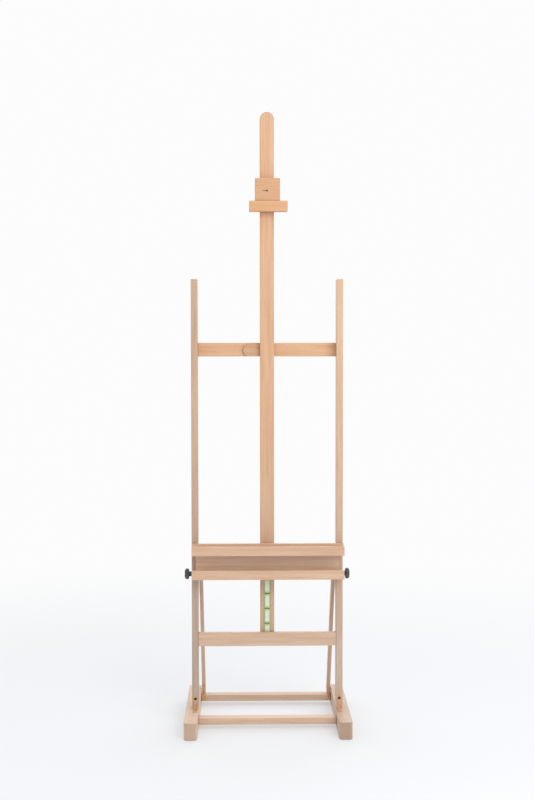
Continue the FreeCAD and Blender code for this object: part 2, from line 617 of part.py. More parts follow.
def make_strut(word, side, outward, inward):
    """Built upright under the tilt bolt, then leant back to the hinge on the rear crossbar."""
    lean = Rotation(Vector(1, 0, 0), size("strut_lean"))
    place = ("%d * (strut_inner + strut_thick / 2)" % side, "tilt_depth", "tilt_height")
    bar = doc.addObject("Part::Box", "strut_bar_" + word)
    for prop, formula in zip(("Length", "Width", "Height"), ("strut_thick", "strut_width", "strut_length")):
        bind(bar, prop, formula)
    seat(bar, ("-strut_thick / 2", "-strut_width / 2", "-strut_length"))
    tip = rod("strut_tip_" + word, ("-strut_thick / 2", 0, 0), RIGHT, "strut_width / 2", "strut_thick")
    solid = fuse("strut_solid_" + word, [bar, tip])
    solid.Refine = True
    doc.recompute()
    eased = doc.addObject("Part::Fillet", "strut_eased_" + word)
    eased.Base = solid
    eased.Edges = [(number, size("edge_round"), size("edge_round"))
                   for number in range(1, len(solid.Shape.Edges) + 1)
                   if solid.Shape.Edges[number - 1].BoundBox.XLength < 0.1]
    hole = rod("strut_hole_" + word, ("-strut_thick", 0, 0), RIGHT, "bolt_radius", "2 * strut_thick")
    pin_y = "-strut_width / 2 - knuckle_offset"
    pin_z = "-strut_length - 1"
    heads = [(0, "-strut_width / 2 - leaf_thick", "-strut_length + strut_screw_" + level)
             for level in ("low", "high")]
    screw_holes = screw_group("strut_screw_holes_" + word, heads, FRONT, "hinge_screw")
    leaf_screws = screw_group("strut_hinge_screws_" + word, heads, FRONT, "hinge_screw")
    wood = cut("strut_" + word, eased, [hole, screw_holes])

    reach = "(leaf_width - knuckle_middle) / 2 - knuckle_gap"
    pieces = []
    for end, start in (("near", "-leaf_width / 2"), ("far", "knuckle_middle / 2 + knuckle_gap")):
        pieces.append(rod("strut_knuckle_%s_%s" % (end, word), (start, pin_y, pin_z), RIGHT,
                          "knuckle_radius", reach))
        pieces.append(block("strut_lug_%s_%s" % (end, word),
                            (start, "-strut_width / 2 - leaf_thick", pin_z),
                            (reach, "leaf_thick", "knuckle_radius + 2")))
    pieces.append(block("strut_plate_" + word,
                        ("-leaf_width / 2", "-strut_width / 2 - leaf_thick",
                         pin_z + " + knuckle_radius + 0.5"),
                        ("leaf_width", "leaf_thick", "strut_leaf")))
    bore = rod("strut_bore_" + word, ("-leaf_width", pin_y, pin_z), RIGHT, "pin_bore", "2 * leaf_width")
    leaf = cut("strut_hinge_leaf_" + word, fuse("strut_leaf_blank_" + word, pieces), [bore, screw_holes])

    for piece in (wood, leaf, leaf_screws):
        seat(piece, place, lean)
        keep(piece)

    shank = rod("tilt_shank_" + word, ("%d * (strut_inner - %d)" % (side, OVERSHOOT), "tilt_depth",
                                       "tilt_height"),
                outward, "bolt_radius", "knob_start - strut_inner + tilt_bolt_end")
    dome = rod("tilt_head_" + word, ("%d * strut_inner" % side, "tilt_depth", "tilt_height"),
               inward, "tilt_head", "tilt_head_thick")
    bolt = keep(fuse("tilt_bolt_" + word, [shank, dome]))
    washers = [rod("tilt_washer_%s_%s" % (place, word), ("%d * (%s)" % (side, start), "tilt_depth", "tilt_height"),
                   outward, "tilt_washer", "tilt_washer_" + place)
               for place, start in (("outer", "upright_outer + washer_gap"),
                                    ("inner", "strut_inner + strut_thick"))]
    keep(cut("tilt_washer_" + word, fuse("tilt_washers_" + word, washers), [bolt]))


def knob(label, place, turn):
    """A fluted plastic knob turned about its own Z, from the hub outwards."""
    body = doc.addObject("PartDesign::Body", label)
    sketch = body.newObject("Sketcher::SketchObject", label + "_section")
    planes = {item.Role: item for item in body.Origin.OriginFeatures}
    sketch.AttachmentSupport = (planes["XZ_Plane"], [""])
    sketch.MapMode = "FlatFace"
    outline(sketch, [("bolt_bore", 0), ("hub_radius", 0), ("hub_radius", "hub_length"),
                     ("knob_radius - 2", "hub_length"), ("knob_radius", "hub_length + 3"),
                     ("knob_radius", "hub_length + knob_thick - 5"),
                     ("knob_radius - 3", "hub_length + knob_thick - 1"),
                     ("knob_radius - 7", "hub_length + knob_thick"), (0, "hub_length + knob_thick"),
                     (0, "knob_bore"), ("bolt_bore", "knob_bore")])
    turned = body.newObject("PartDesign::Revolution", label + "_turned")
    turned.Profile = sketch
    turned.ReferenceAxis = (planes["Z_Axis"], [""])
    turned.Angle = 360
    doc.recompute()

    flute_sketch = body.newObject("Sketcher::SketchObject", label + "_flute")
    flute_sketch.AttachmentSupport = (planes["XY_Plane"], [""])
    flute_sketch.MapMode = "FlatFace"
    reach = size("knob_radius") + size("flute_offset")
    radius = size("flute_radius")
    flute_sketch.addGeometry(Part.Circle(Vector(reach, 0, 0), Vector(0, 0, 1), radius), False)
    flute_sketch.addConstraint(Sketcher.Constraint("PointOnObject", 0, 3, -1))
    for name, constraint, formula in (
            ("flute", Sketcher.Constraint("Radius", 0, radius), "flute_radius"),
            ("reach", Sketcher.Constraint("DistanceX", -1, 1, 0, 3, reach), "knob_radius + flute_offset")):
        flute_sketch.renameConstraint(flute_sketch.addConstraint(constraint), name)
        bind(flute_sketch, "Constraints." + name, formula)
    flute = body.newObject("PartDesign::Pocket", label + "_flute_cut")
    flute.Profile = flute_sketch
    flute.Type = "Length"
    flute.Reversed = True
    bind(flute, "Length", "hub_length + knob_thick + 2")
    doc.recompute()
    assert flute.Shape.Volume < turned.Shape.Volume - 1, "the flute cuts nothing"
    pattern = body.newObject("PartDesign::PolarPattern", label + "_flutes")
    pattern.Originals = [flute]
    pattern.Axis = (planes["Z_Axis"], [""])
    pattern.Angle = 360
    pattern.Occurrences = 8
    body.Tip = pattern
    doc.recompute()
    return seat(body, place, turn)


# ---------------------------------------------------------------- mast, rack and tray

def make_mast():
    mast_front = "upright_front + rail_setback + rail_thick + slide_gap"
    mast_back = mast_front + " + mast_thick"
    straight = "mast_top - mast_width / 2 - mast_bottom"
    shaft = block("mast_shaft", ("-mast_width / 2", mast_front, "mast_bottom"),
                  ("mast_width", "mast_thick", straight))
    crown = rod("mast_crown", (0, mast_front, "mast_top - mast_width / 2"), BACK, "mast_width / 2",
                "mast_thick")
    solid = fuse("mast_solid", [shaft, crown])
    solid.Refine = True
    doc.recompute()
    eased = doc.addObject("Part::Fillet", "mast_eased")
    eased.Base = solid
    eased.Edges = [(number, size("edge_round"), size("edge_round"))
                   for number, edge in enumerate(solid.Shape.Edges, start=1)
                   if edge.BoundBox.YLength < 0.1]
    groove_start = "mast_bottom - %d" % OVERSHOOT
    groove_length = "groove_top - mast_bottom + %d" % OVERSHOOT
    mouth = block("groove_slot", ("-groove_mouth / 2", mast_back + " - groove_depth", groove_start),
                  ("groove_mouth", "groove_depth + %d" % OVERSHOOT, groove_length))
    hollow = block("groove_hollow", ("-groove_width / 2", mast_back + " - groove_depth", groove_start),
                   ("groove_width", "groove_depth - groove_lip", groove_length))

    rack_screws = keep(screw_group(
        "rack_screws",
        [(0, mast_front + " - high_screw_face", "rack_screw_high"),
         (0, mast_front + " - low_screw_face", "rack_screw_low")],
        FRONT, "rack_screw", dome="low_dome"))
    places = [("%d * tray_screw_apart" % side, mast_back + " - tray_screw_sink",
               "tray_screw_" + level)
              for _, side, *_ in SIDES for level in ("low", "middle", "high")]
    tray_screws = keep(stout_screws("tray_screws", places, BACK, "tray_screw", "flat_dome"))
    recesses = recess_group("tray_screw_recess", places, BACK, "stout_head")
    keep(cut("mast", eased, [mouth, hollow, rack_screws, tray_screws, recesses]))

    strip = block("rack_strip", ("-rack_width / 2", mast_front + " - rack_thin", "rack_bottom"),
                  ("rack_width", "rack_thin", "rack_top - rack_bottom"))
    teeth = [strip]
    for number in range(int(size("rack_teeth"))):
        tooth = doc.addObject("Part::Wedge", "rack_tooth_%d" % number)
        for prop, formula in (("Xmin", 0), ("Xmax", "rack_width"), ("X2min", 0), ("X2max", "rack_width"),
                              ("Ymin", 0), ("Ymax", "rack_pitch"), ("Zmin", 0), ("Zmax", "rack_thick"),
                              ("Z2min", 0), ("Z2max", "rack_thin")):
            bind(tooth, prop, formula)
        teeth.append(seat(tooth, ("-rack_width / 2", mast_front, "rack_first + %d * rack_pitch" % number),
                          FRONT))
    keep(cut("rack", fuse("rack_blank", teeth), [rack_screws]))

    width = "2 * tray_half"
    left_end = "tray_shift - tray_half"
    floor_depth = "tray_back - tray_front - 2 * tray_board"
    spacer = board("tray_spacer_blank", ("-mast_width / 2", "tray_back", "shelf_bottom + spacer_rise"),
                   ("mast_width", mast_front + " - tray_back",
                    "channel_bottom + spacer_overlap - shelf_bottom - spacer_rise"), "fine_round")
    back = board("tray_back_board_blank", ("-tray_board_half", "tray_back - tray_board", "shelf_bottom"),
                 ("2 * tray_board_half", "tray_board", "channel_bottom - shelf_bottom"), "fine_round")
    fence = board("canvas_fence_blank", (left_end, "tray_back - tray_board", "channel_bottom"),
                  (width, "tray_board", "fence_height"), "fine_round")
    pins = []
    columns = ("-nail_column_outer", "-nail_column_inner", "nail_column_inner", "nail_column_outer")
    for number, across in enumerate(columns):
        for level in ("shelf", "channel"):
            pins.append(rod("lip_pin_%s_%d" % (level, number),
                            (across, "tray_front + nail_sink", level + "_bottom + tray_board / 2"),
                            BACK, "nail_radius", "nail_length"))
        pins.append(rod("shelf_pin_%d" % number,
                        (across, "tray_back - nail_sink", "shelf_bottom + tray_board / 2"),
                        FRONT, "nail_radius", "nail_length"))
        pins.append(rod("fence_pin_%d" % number,
                        (across, "tray_back - tray_board / 2", "channel_bottom - nail_length / 2"),
                        UP, "nail_radius", "nail_length"))
    tray_pins = keep(fuse("tray_pins", pins))
    keep(cut("tray_spacer", spacer, [tray_screws]))
    keep(cut("tray_back_board", back, [tray_screws, tray_pins]))
    keep(cut("canvas_fence", fence, [tray_screws, tray_pins]))

    for floor, lip, bottom, height in (
            ("shelf_floor", "shelf_front_lip", "shelf_bottom", "shelf_lip"),
            ("canvas_floor", "canvas_front_lip", "channel_bottom", "channel_lip")):
        flat = board(floor + "_blank", (left_end, "tray_front + tray_board", bottom),
                     (width, floor_depth, "tray_board"), "fine_round")
        keep(cut(floor, flat, [tray_pins]))
        strip = board(lip + "_blank", (left_end, "tray_front", bottom), (width, "tray_board", height))
        keep(cut(lip, strip, [tray_pins]))


# ---------------------------------------------------------------- lever and pawl

def make_lever(bolt_height):
    back = "upright_front + upright_depth - slide_gap"
    front = back + " - lever_thick"
    half = "lever_height / 2"
    middle = block("lever_middle", ("-(lever_reach - lever_height / 2)", front, bolt_height + " - " + half),
                   ("lever_reach - lever_height / 2", "lever_thick", "lever_height"))
    tip = rod("lever_tip", ("-(lever_reach - lever_height / 2)", front, bolt_height), BACK, half, "lever_thick")
    heel = rod("lever_heel", (0, front, bolt_height), BACK, half, "lever_thick")
    paddle = fuse("lever_paddle", [middle, tip, heel])
    paddle.Refine = True
    doc.recompute()
    eased = doc.addObject("Part::Fillet", "lever_eased")
    eased.Base = paddle
    eased.Edges = [(number, size("fine_round"), size("fine_round"))
                   for number, edge in enumerate(paddle.Shape.Edges, start=1)
                   if edge.BoundBox.YLength < 0.1]
    insert = rod("lever_insert_blank", (0, front, bolt_height), BACK, "lever_insert", "lever_thick")
    bore = rod("lever_bore", (0, front + " - %d" % OVERSHOOT, bolt_height), BACK, "bolt_bore",
               "lever_thick + %d" % (2 * OVERSHOOT))
    keep(cut("mast_lever", eased, [insert]))
    keep(cut("lever_insert", insert, [bore]))


def make_pawl():
    lean = Rotation(Vector(1, 0, 0), -size("pawl_lean"))
    eye = rod("pawl_eye_rod", ("-pawl_width / 2", 0, 0), RIGHT, "pawl_eye", "pawl_width")
    arm = block("pawl_blade", ("-pawl_width / 2", "-pawl_thick / 2", 0),
                ("pawl_width", "pawl_thick", "pawl_arm"))
    bore = rod("pawl_bore", ("-pawl_width", 0, 0), RIGHT, "pawl_pin_bore", "2 * pawl_width")
    pawl = cut("pawl", fuse("pawl_blank", [eye, arm]), [bore])
    keep(seat(pawl, (0, "-pawl_setback", "pawl_height"), lean))


# ---------------------------------------------------------------- top clamp

def make_clamp():
    mast_front = "upright_front + rail_setback + rail_thick + slide_gap"
    front_block_back = mast_front + " - slide_gap"
    plate_front = mast_front + " + mast_thick + slide_gap"
    places = [("block_shift + %d * (clamp_half - clamp_screw_inset)" % side,
               plate_front + " + clamp_plate - clamp_screw_sink", "clamp_bottom + clamp_screw_" + level)
              for _, side, *_ in SIDES for level in ("low", "high")]
    rear_screws = stout_screws("clamp_rear_screws", places, BACK, "clamp_screw", "flat_dome")
    recesses = recess_group("clamp_screw_recess", places, BACK, "stout_head")
    places = [("%d * bar_screw_apart" % side, "bar_front + bar_screw_depth",
               "clamp_bottom - bar_height + bar_screw_sink") for _, side, *_ in SIDES]
    bar_screws = stout_screws("clamp_bar_screws", places, DOWN, "clamp_screw", "flat_dome")
    bar_recesses = recess_group("bar_screw_recess", places, DOWN, "stout_head")
    keep(fuse("clamp_screws", [rear_screws, bar_screws]))
    place = (0, "clamp_front + %d" % OVERSHOOT, "clamp_bottom + face_screw_rise")
    face_screw = keep(screw("clamp_face_screw", place, FRONT, "face_screw", dome="low_dome"))
    face_recess = rod("face_screw_recess", place, FRONT, "screw_head", RECESS)

    front = board("clamp_block_blank", ("block_shift - clamp_half", "clamp_front", "clamp_bottom"),
                  ("2 * clamp_half", front_block_back + " - clamp_front", "clamp_height"))
    keep(cut("clamp_block", front, [rear_screws, bar_screws, face_screw, face_recess]))
    for word, side, *_ in SIDES:
        cheek = "clamp_half + %d * block_shift - mast_width / 2 - slide_gap" % side
        filler = board("clamp_cheek_%s_blank" % word,
                       (mirrored(side, "mast_width / 2 + slide_gap", cheek), front_block_back, "clamp_bottom"),
                       (cheek, "mast_thick + 2 * slide_gap", "clamp_height"), "fine_round")
        keep(cut("clamp_cheek_" + word, filler, [rear_screws]))
    plate = board("clamp_back_plate_blank", ("block_shift - clamp_half", plate_front, "clamp_bottom"),
                  ("2 * clamp_half", "clamp_plate", "clamp_height"))
    insert = rod("clamp_insert_blank", (0, plate_front, "clamp_bottom + clamp_axis"), BACK,
                 "insert_radius", "clamp_plate")
    bore = rod("clamp_bore", (0, plate_front + " - %d" % OVERSHOOT, "clamp_bottom + clamp_axis"), BACK,
               "bolt_bore", "clamp_plate + %d" % (2 * OVERSHOOT))
    keep(cut("clamp_back_plate", plate, [insert, rear_screws, recesses]))
    keep(cut("clamp_insert", insert, [bore]))

    depth = front_block_back + " - bar_front"
    section = [(0, 0), ("bar_rebate_front", 0), ("bar_rebate_front", "bar_rebate"),
               ("bar_rebate_back", "bar_rebate"), ("bar_rebate_back", 0), (depth, 0),
               (depth, "bar_height"), (0, "bar_height")]
    bar = seat(profile("clamp_bar_blank", "YZ_Plane", section, "2 * bar_half", "fine_round"),
               ("bar_shift - bar_half", "bar_front", "clamp_bottom - bar_height"))
    keep(cut("clamp_bar", bar, [bar_screws, bar_recesses]))

    hub = plate_front + " + clamp_plate + hub_gap"
    keep(rod("clamp_stud", (0, plate_front + " - stud_bite", "clamp_bottom + clamp_axis"), BACK,
             "bolt_radius", "stud_bite + clamp_plate + hub_gap + stud_grip"))
    keep(knob("clamp_knob", (0, hub, "clamp_bottom + clamp_axis"), BACK))


# ---------------------------------------------------------------- build and write

make_base()
bolt_height = make_frame()
for word, side, outward, inward in SIDES:
    make_strut(word, side, outward, inward)
    keep(knob("side_knob_" + word, ("%d * knob_start" % side, "tilt_depth", "tilt_height"), outward))
make_mast()
make_lever(bolt_height)
make_pawl()
make_clamp()
doc.recompute()

failed = [item.Name for item in doc.Objects if "Invalid" in item.State or "Error" in item.State]
assert not failed, "failed features: %s" % failed
os.makedirs("parts", exist_ok=True)
for node in nodes:
    shape = node.Shape
    assert not shape.isNull() and shape.isValid() and shape.Solids, "bad shape: %s" % node.Label
    shape.exportStep("parts/%s.step" % node.Label)
print(len(nodes), "sub-parts written")
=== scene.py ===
# %% [markdown]
# # A studio easel of solid beech
#
# This lesson dresses an H-shaped painter's easel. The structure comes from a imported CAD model:
# feet, crossbars, a tilting frame, a sliding mast with its tray, and a clamp for the canvas.
# Blender never moves or resizes any of it. What this file adds is the surface of every piece:
# clean shading on the timber, wood that is solid right through to the end grain, and small
# metal and plastic parts that are modelled again with the detail that they have on the bench.
#
# Everything is in metres, in the frame of the CAD model: X to the right, Y to the back, Z up.

# %% Load the fixed frame
import math

import bmesh
import bpy
from mathutils import Matrix, Vector


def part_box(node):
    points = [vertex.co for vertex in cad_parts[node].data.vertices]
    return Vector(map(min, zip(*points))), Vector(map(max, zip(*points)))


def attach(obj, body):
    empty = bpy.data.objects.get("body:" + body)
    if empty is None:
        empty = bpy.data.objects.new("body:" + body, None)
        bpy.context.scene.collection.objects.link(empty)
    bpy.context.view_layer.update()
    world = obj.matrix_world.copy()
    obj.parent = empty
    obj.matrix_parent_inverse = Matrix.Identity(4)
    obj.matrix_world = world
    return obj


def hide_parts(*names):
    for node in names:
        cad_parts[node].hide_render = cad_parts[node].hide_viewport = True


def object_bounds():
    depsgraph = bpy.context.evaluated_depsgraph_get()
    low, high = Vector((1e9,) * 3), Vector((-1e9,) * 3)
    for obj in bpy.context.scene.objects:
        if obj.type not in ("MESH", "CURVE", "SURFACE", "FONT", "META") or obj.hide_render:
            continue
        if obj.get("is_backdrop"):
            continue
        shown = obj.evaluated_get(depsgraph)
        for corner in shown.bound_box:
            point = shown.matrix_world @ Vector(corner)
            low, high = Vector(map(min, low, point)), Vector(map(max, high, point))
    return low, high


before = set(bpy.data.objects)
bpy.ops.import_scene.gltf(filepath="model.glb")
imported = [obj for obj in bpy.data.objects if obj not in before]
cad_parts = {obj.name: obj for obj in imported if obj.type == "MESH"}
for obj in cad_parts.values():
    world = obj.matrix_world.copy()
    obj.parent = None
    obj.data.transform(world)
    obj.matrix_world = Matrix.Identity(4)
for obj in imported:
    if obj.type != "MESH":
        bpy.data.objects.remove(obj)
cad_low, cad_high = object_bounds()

MM = 0.001
WELD = 0.01 * MM
print("overall", [round(v, 3) for v in cad_high - cad_low])


# %% [markdown]
# ## Words for wiring nodes
#
# Materials and Geometry Nodes are both graphs. A node could be made, set and linked with three
# lines every time, but then the idea of a material drowns in wiring. `Graph` keeps one line per
# node: a number goes to a socket's default, and a socket or node becomes a link.

# %% A small graph writer
class Graph:
    def __init__(self, tree):
        self.tree = tree
        self.tree.nodes.clear()

    def feed(self, socket, value):
        if isinstance(value, bpy.types.Node):
            value = value.outputs[0]
        if isinstance(value, bpy.types.NodeSocket):
            self.tree.links.new(value, socket)
        else:
            socket.default_value = value

    def add(self, kind, values=None, **settings):
        node = self.tree.nodes.new(kind)
        for name, value in settings.items():
            setattr(node, name, value)
        for name, value in (values or {}).items():
            self.feed(node.inputs[name], value)
        return node

    def math(self, operation, first, second=0.0, clamp=False):
        node = self.add("ShaderNodeMath", operation=operation, use_clamp=clamp)
        self.feed(node.inputs[0], first)
        self.feed(node.inputs[1], second)
        return node

    def vector(self, operation, first, second=(0.0, 0.0, 0.0)):
        node = self.add("ShaderNodeVectorMath", operation=operation)
        self.feed(node.inputs[0], first)
        self.feed(node.inputs[1], second)
        return node

    def blend(self, factor, first, second, mode="MIX"):
        node = self.add("ShaderNodeMix", data_type="RGBA", blend_type=mode)
        self.feed(node.inputs["Factor"], factor)
        self.feed(node.inputs[6], first)
        self.feed(node.inputs[7], second)
        return node.outputs[2]

    def ramp(self, value, low, high, to_low=0.0, to_high=1.0):
        node = self.add("ShaderNodeMapRange", interpolation_type="SMOOTHSTEP")
        for socket, number in zip(node.inputs, (value, low, high, to_low, to_high)):
            self.feed(socket, number)
        return node

    def noise(self, vector, scale, detail=2.0, roughness=0.5):
        return self.add("ShaderNodeTexNoise", {
            "Vector": vector, "Scale": scale, "Detail": detail, "Roughness": roughness})


def new_material(name):
    material = bpy.data.materials.new(name)
    material.use_nodes = True
    return material, Graph(material.node_tree)


def rgb(red, green, blue):
    """A colour given the way a paint card gives it, 0 to 255, as the linear value of a shader."""
    def linear(level):
        level /= 255
        return level / 12.92 if level <= 0.04045 else ((level + 0.055) / 1.055) ** 2.4
    return (linear(red), linear(green), linear(blue), 1.0)


print("middle grey 128 as a linear value", round(rgb(128, 128, 128)[0], 3))


# %% [markdown]
# ## Oiled beech
#
# Beech is pale, pinkish brown and even. Close up it has fine growth rings, and the short dark
# dashes that mark it: the ends of its rays, a few millimetres long and always along the grain.
# The wood could be painted face by face, but then the lines would not meet at the edges. Here the
# pattern is solid: rings are distances from a pith line outside the board, so the faces show long
# lines, the ends show arcs, and they join at every corner. Each board gets its own pith, its own
# direction of grain and a slightly different tone, as boards from one pile have. The narrow corners
# where a board meets its neighbour are painted darker: painted shade.

# %% The wood as a solid pattern
LIGHT_WOOD = rgb(226, 180, 139)
DEEP_WOOD = rgb(209, 157, 114)
RING_LINE = rgb(190, 138, 99)
RAY_DASH = rgb(150, 98, 66)
END_WOOD = rgb(190, 140, 102)
# Brown of the painted shade in corners, also used for the darker streak on the clamp block.
SHADE_AND_STREAK_BROWN = rgb(96, 62, 42)
# Painted light: the lower ends of tall boards are tinted cooler, as lit from the white floor.
PAINTED_FLOOR_LIGHT_TINT = (0.84, 0.95, 1.10, 1.0)
RING_PITCH = 2.6 * MM
RING_SWAY = 16 * MM
PALE_TINT = (-0.06, 0.22, 0.72)
# Painted shade in corners: where it starts and ends on the occlusion, and how dark it gets.
CORNER_SHADE_OPEN, CORNER_SHADE_CLOSED, CORNER_SHADE_DEPTH = 0.75, 0.25, 0.7
FLOOR_LIGHT_FADE_LOW, FLOOR_LIGHT_FADE_HIGH = 0.3, 1.3
# Size and darkness of the darker streak painted on the face of the clamp block.
STREAK_HALF = (14 * MM, 30 * MM, 3.4 * MM)
STREAK_DEPTH = 0.75


def growth(graph, solid):
    """Rings about the pith, streaks of tone, and the fibres, all drawn out along the grain."""
    drawn_out = graph.vector("MULTIPLY", solid, (1.0, 1.0, 0.05))
    sway = graph.noise(drawn_out, 14.0, 2.0, 0.55)
    split = graph.add("ShaderNodeSeparateXYZ", {"Vector": solid})
    across = graph.add("ShaderNodeCombineXYZ", {"X": split.outputs["X"], "Y": split.outputs["Y"]})
    radius = graph.vector("LENGTH", across).outputs["Value"]
    swayed = graph.math("ADD", radius, graph.math("MULTIPLY", sway, RING_SWAY))
    phase = graph.math("MULTIPLY", swayed, math.tau / RING_PITCH)
    ring = graph.ramp(graph.math("SINE", phase), 0.35, 1.0)
    streaks = graph.noise(drawn_out, 95.0, 3.0, 0.6)
    clouds = graph.noise(graph.vector("MULTIPLY", solid, (1.0, 1.0, 0.16)), 9.0, 2.0)
    tone = graph.math("ADD", graph.math("MULTIPLY", streaks, 0.62), graph.math("MULTIPLY", clouds, 0.38))
    fibres = graph.noise(graph.vector("MULTIPLY", solid, (1.0, 1.0, 0.018)), 1500.0, 2.0, 0.6)
    return ring, tone, fibres


def ray_dashes(graph, solid):
    """Short dark dashes along the grain, in about half of the cells of a stretched pattern."""
    cells = graph.add("ShaderNodeTexVoronoi", {
        "Vector": graph.vector("MULTIPLY", solid, (1.0, 1.0, 0.20)), "Scale": 820.0})
    random = graph.add("ShaderNodeSeparateColor", {"Color": cells.outputs["Color"]}).outputs["Red"]
    chosen = graph.math("GREATER_THAN", random, 0.45)
    return graph.math("MULTIPLY", graph.ramp(cells.outputs["Distance"], 0.30, 0.12), chosen)


def end_grain(graph, turn):
    """One on the faces that the grain runs into."""
    facing = graph.add("ShaderNodeMapping", {
        "Vector": graph.add("ShaderNodeTexCoord").outputs["Normal"], "Rotation": turn})
    along = graph.math("ABSOLUTE", graph.add("ShaderNodeSeparateXYZ", {"Vector": facing}).outputs["Z"])
    return graph.ramp(along, 0.55, 0.95)


def rubbed_edges(graph, from_centre, half, solid):
    """Patches where hands have polished the edges: close to two faces of the board at once."""
    reach = graph.vector("SUBTRACT", graph.vector("ABSOLUTE", from_centre), half)
    near = [graph.ramp(axis, -3.2 * MM, -0.4 * MM) for axis in graph.add(
        "ShaderNodeSeparateXYZ", {"Vector": reach}).outputs]
    pairs = [graph.math("MULTIPLY", near[a], near[b]) for a, b in ((0, 1), (1, 2), (0, 2))]
    edge = graph.math("MAXIMUM", graph.math("MAXIMUM", pairs[0], pairs[1]), pairs[2])
    return graph.math("MULTIPLY", edge, graph.ramp(graph.noise(solid, 30.0, 3.0), 0.35, 0.65))


def tinted(graph, colour, place, pale, shade, nook, tall, flaw):
    """The tone of one board: how pale and how dark it is, painted shade in its corners, a painted cooler
    light at its foot, and a darker streak.
    """
    tint = tuple(shade * (1.0 + gain * pale) for gain in PALE_TINT) + (1.0,)
    colour = graph.blend(1.0, colour, tint, "MULTIPLY")
    # Painted shade: the wood is darkened where ambient occlusion finds a corner, a joint or a recess close
    # by.
    corner = graph.add("ShaderNodeAmbientOcclusion", {"Distance": nook}, samples=6)
    narrow = graph.ramp(corner.outputs["AO"], CORNER_SHADE_OPEN, CORNER_SHADE_CLOSED, 0.0, CORNER_SHADE_DEPTH)
    colour = graph.blend(narrow, colour, SHADE_AND_STREAK_BROWN)
    # Painted light: on a tall board the colour turns cooler towards its foot, fading out with height.
    if tall:
        level = graph.add("ShaderNodeSeparateXYZ", {"Vector": place}).outputs["Z"]
        foot = graph.blend(1.0, colour, PAINTED_FLOOR_LIGHT_TINT, "MULTIPLY")
        colour = graph.blend(graph.ramp(level, FLOOR_LIGHT_FADE_LOW, FLOOR_LIGHT_FADE_HIGH), foot, colour)
    # A short streak painted darker, centred just left of the clamp block's screw.
    if flaw:
        offset = graph.vector("DIVIDE", graph.vector("SUBTRACT", place, flaw), STREAK_HALF)
        depth = graph.ramp(graph.vector("LENGTH", offset).outputs["Value"], 1.0, 0.2, 0.0, STREAK_DEPTH)
        colour = graph.blend(depth, colour, SHADE_AND_STREAK_BROWN)
    return colour


def beech(name, centre, half, turn, seed, **board):
    """Beech whose grain runs along Z once the piece is turned by the Euler angles of turn."""
    material, graph = new_material(name)
    place = graph.add("ShaderNodeTexCoord").outputs["Object"]
    from_centre = graph.vector("SUBTRACT", place, centre)
    grain = graph.add("ShaderNodeMapping", {"Vector": from_centre, "Rotation": turn})
    pith = (0.055 + 0.030 * math.sin(seed * 2.1), 0.040 * math.cos(seed * 1.7), 0.37 * seed)
    solid = graph.vector("ADD", grain, pith)
    ring, tone, fibres = growth(graph, solid)
    dash = ray_dashes(graph, solid)
    end = end_grain(graph, turn)
    rubbed = rubbed_edges(graph, from_centre, half, solid)

    colour = graph.blend(graph.ramp(tone, 0.31, 0.69), LIGHT_WOOD, DEEP_WOOD)
    colour = graph.blend(graph.math("MULTIPLY", ring, 0.22), colour, RING_LINE)
    colour = graph.blend(graph.math("MULTIPLY", graph.ramp(fibres, 0.45, 0.70), 0.22), colour, RING_LINE)
    colour = graph.blend(graph.math("MULTIPLY", dash, 0.55), colour, RAY_DASH)
    colour = graph.blend(graph.math("MULTIPLY", end, 0.60), colour, END_WOOD)
    colour = graph.blend(graph.math("MULTIPLY", rubbed, 0.35), colour, DEEP_WOOD)
    colour = tinted(graph, colour, place, **board)

    rough = graph.math("ADD", 0.43, graph.math("MULTIPLY", fibres, 0.16))
    rough = graph.math("ADD", rough, graph.math("MULTIPLY", end, 0.14))
    rough = graph.math("SUBTRACT", rough, graph.math("MULTIPLY", rubbed, 0.10))
    relief = graph.math("ADD", graph.math("MULTIPLY", fibres, 0.6), graph.math("MULTIPLY", dash, -0.5))
    relief = graph.math("SUBTRACT", relief, graph.math("MULTIPLY", ring, 0.25))
    bump = graph.add("ShaderNodeBump", {"Strength": 0.35, "Distance": 0.12 * MM, "Height": relief})
    shader = graph.add("ShaderNodeBsdfPrincipled", {
        "Base Color": colour, "Roughness": rough, "Normal": bump,
        "Coat Weight": 0.12, "Coat Roughness": 0.35})
    graph.add("ShaderNodeOutputMaterial", {"Surface": shader})
    return material


print("growth rings every", round(RING_PITCH / MM, 1), "mm")


# %% [markdown]
# ## Boards with soft edges
#
# Every timber piece leaves the CAD model with its real eased edges and its holes, but as loose
# triangles. Rebuilding the boards by hand would lose the holes, so each one is copied, its corners
# are merged, and its faces are shaded smooth with weights by area: the flat faces stay flat and
# only the rounded edges catch the light.

# %% Copy a CAD node as a clean mesh
FLAT_ANGLE = math.radians(0.2)
SHARP_ANGLE = math.radians(50)


def merged(node, name):
    """A copy of the CAD mesh with its corners joined, smooth apart from the edges over the limit."""
    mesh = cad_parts[node].data.copy()
    mesh.name = name
    shape = bmesh.new()
    shape.from_mesh(mesh)
    bmesh.ops.remove_doubles(shape, verts=shape.verts, dist=WELD)
    bmesh.ops.dissolve_limit(shape, angle_limit=FLAT_ANGLE, verts=shape.verts, edges=shape.edges)
    for face in shape.faces:
        face.smooth = True
    for edge in shape.edges:
        edge.smooth = edge.calc_face_angle(0.0) < SHARP_ANGLE
    shape.to_mesh(mesh)
    shape.free()
    piece = bpy.data.objects.new(name, mesh)
    bpy.context.scene.collection.objects.link(piece)
    return piece


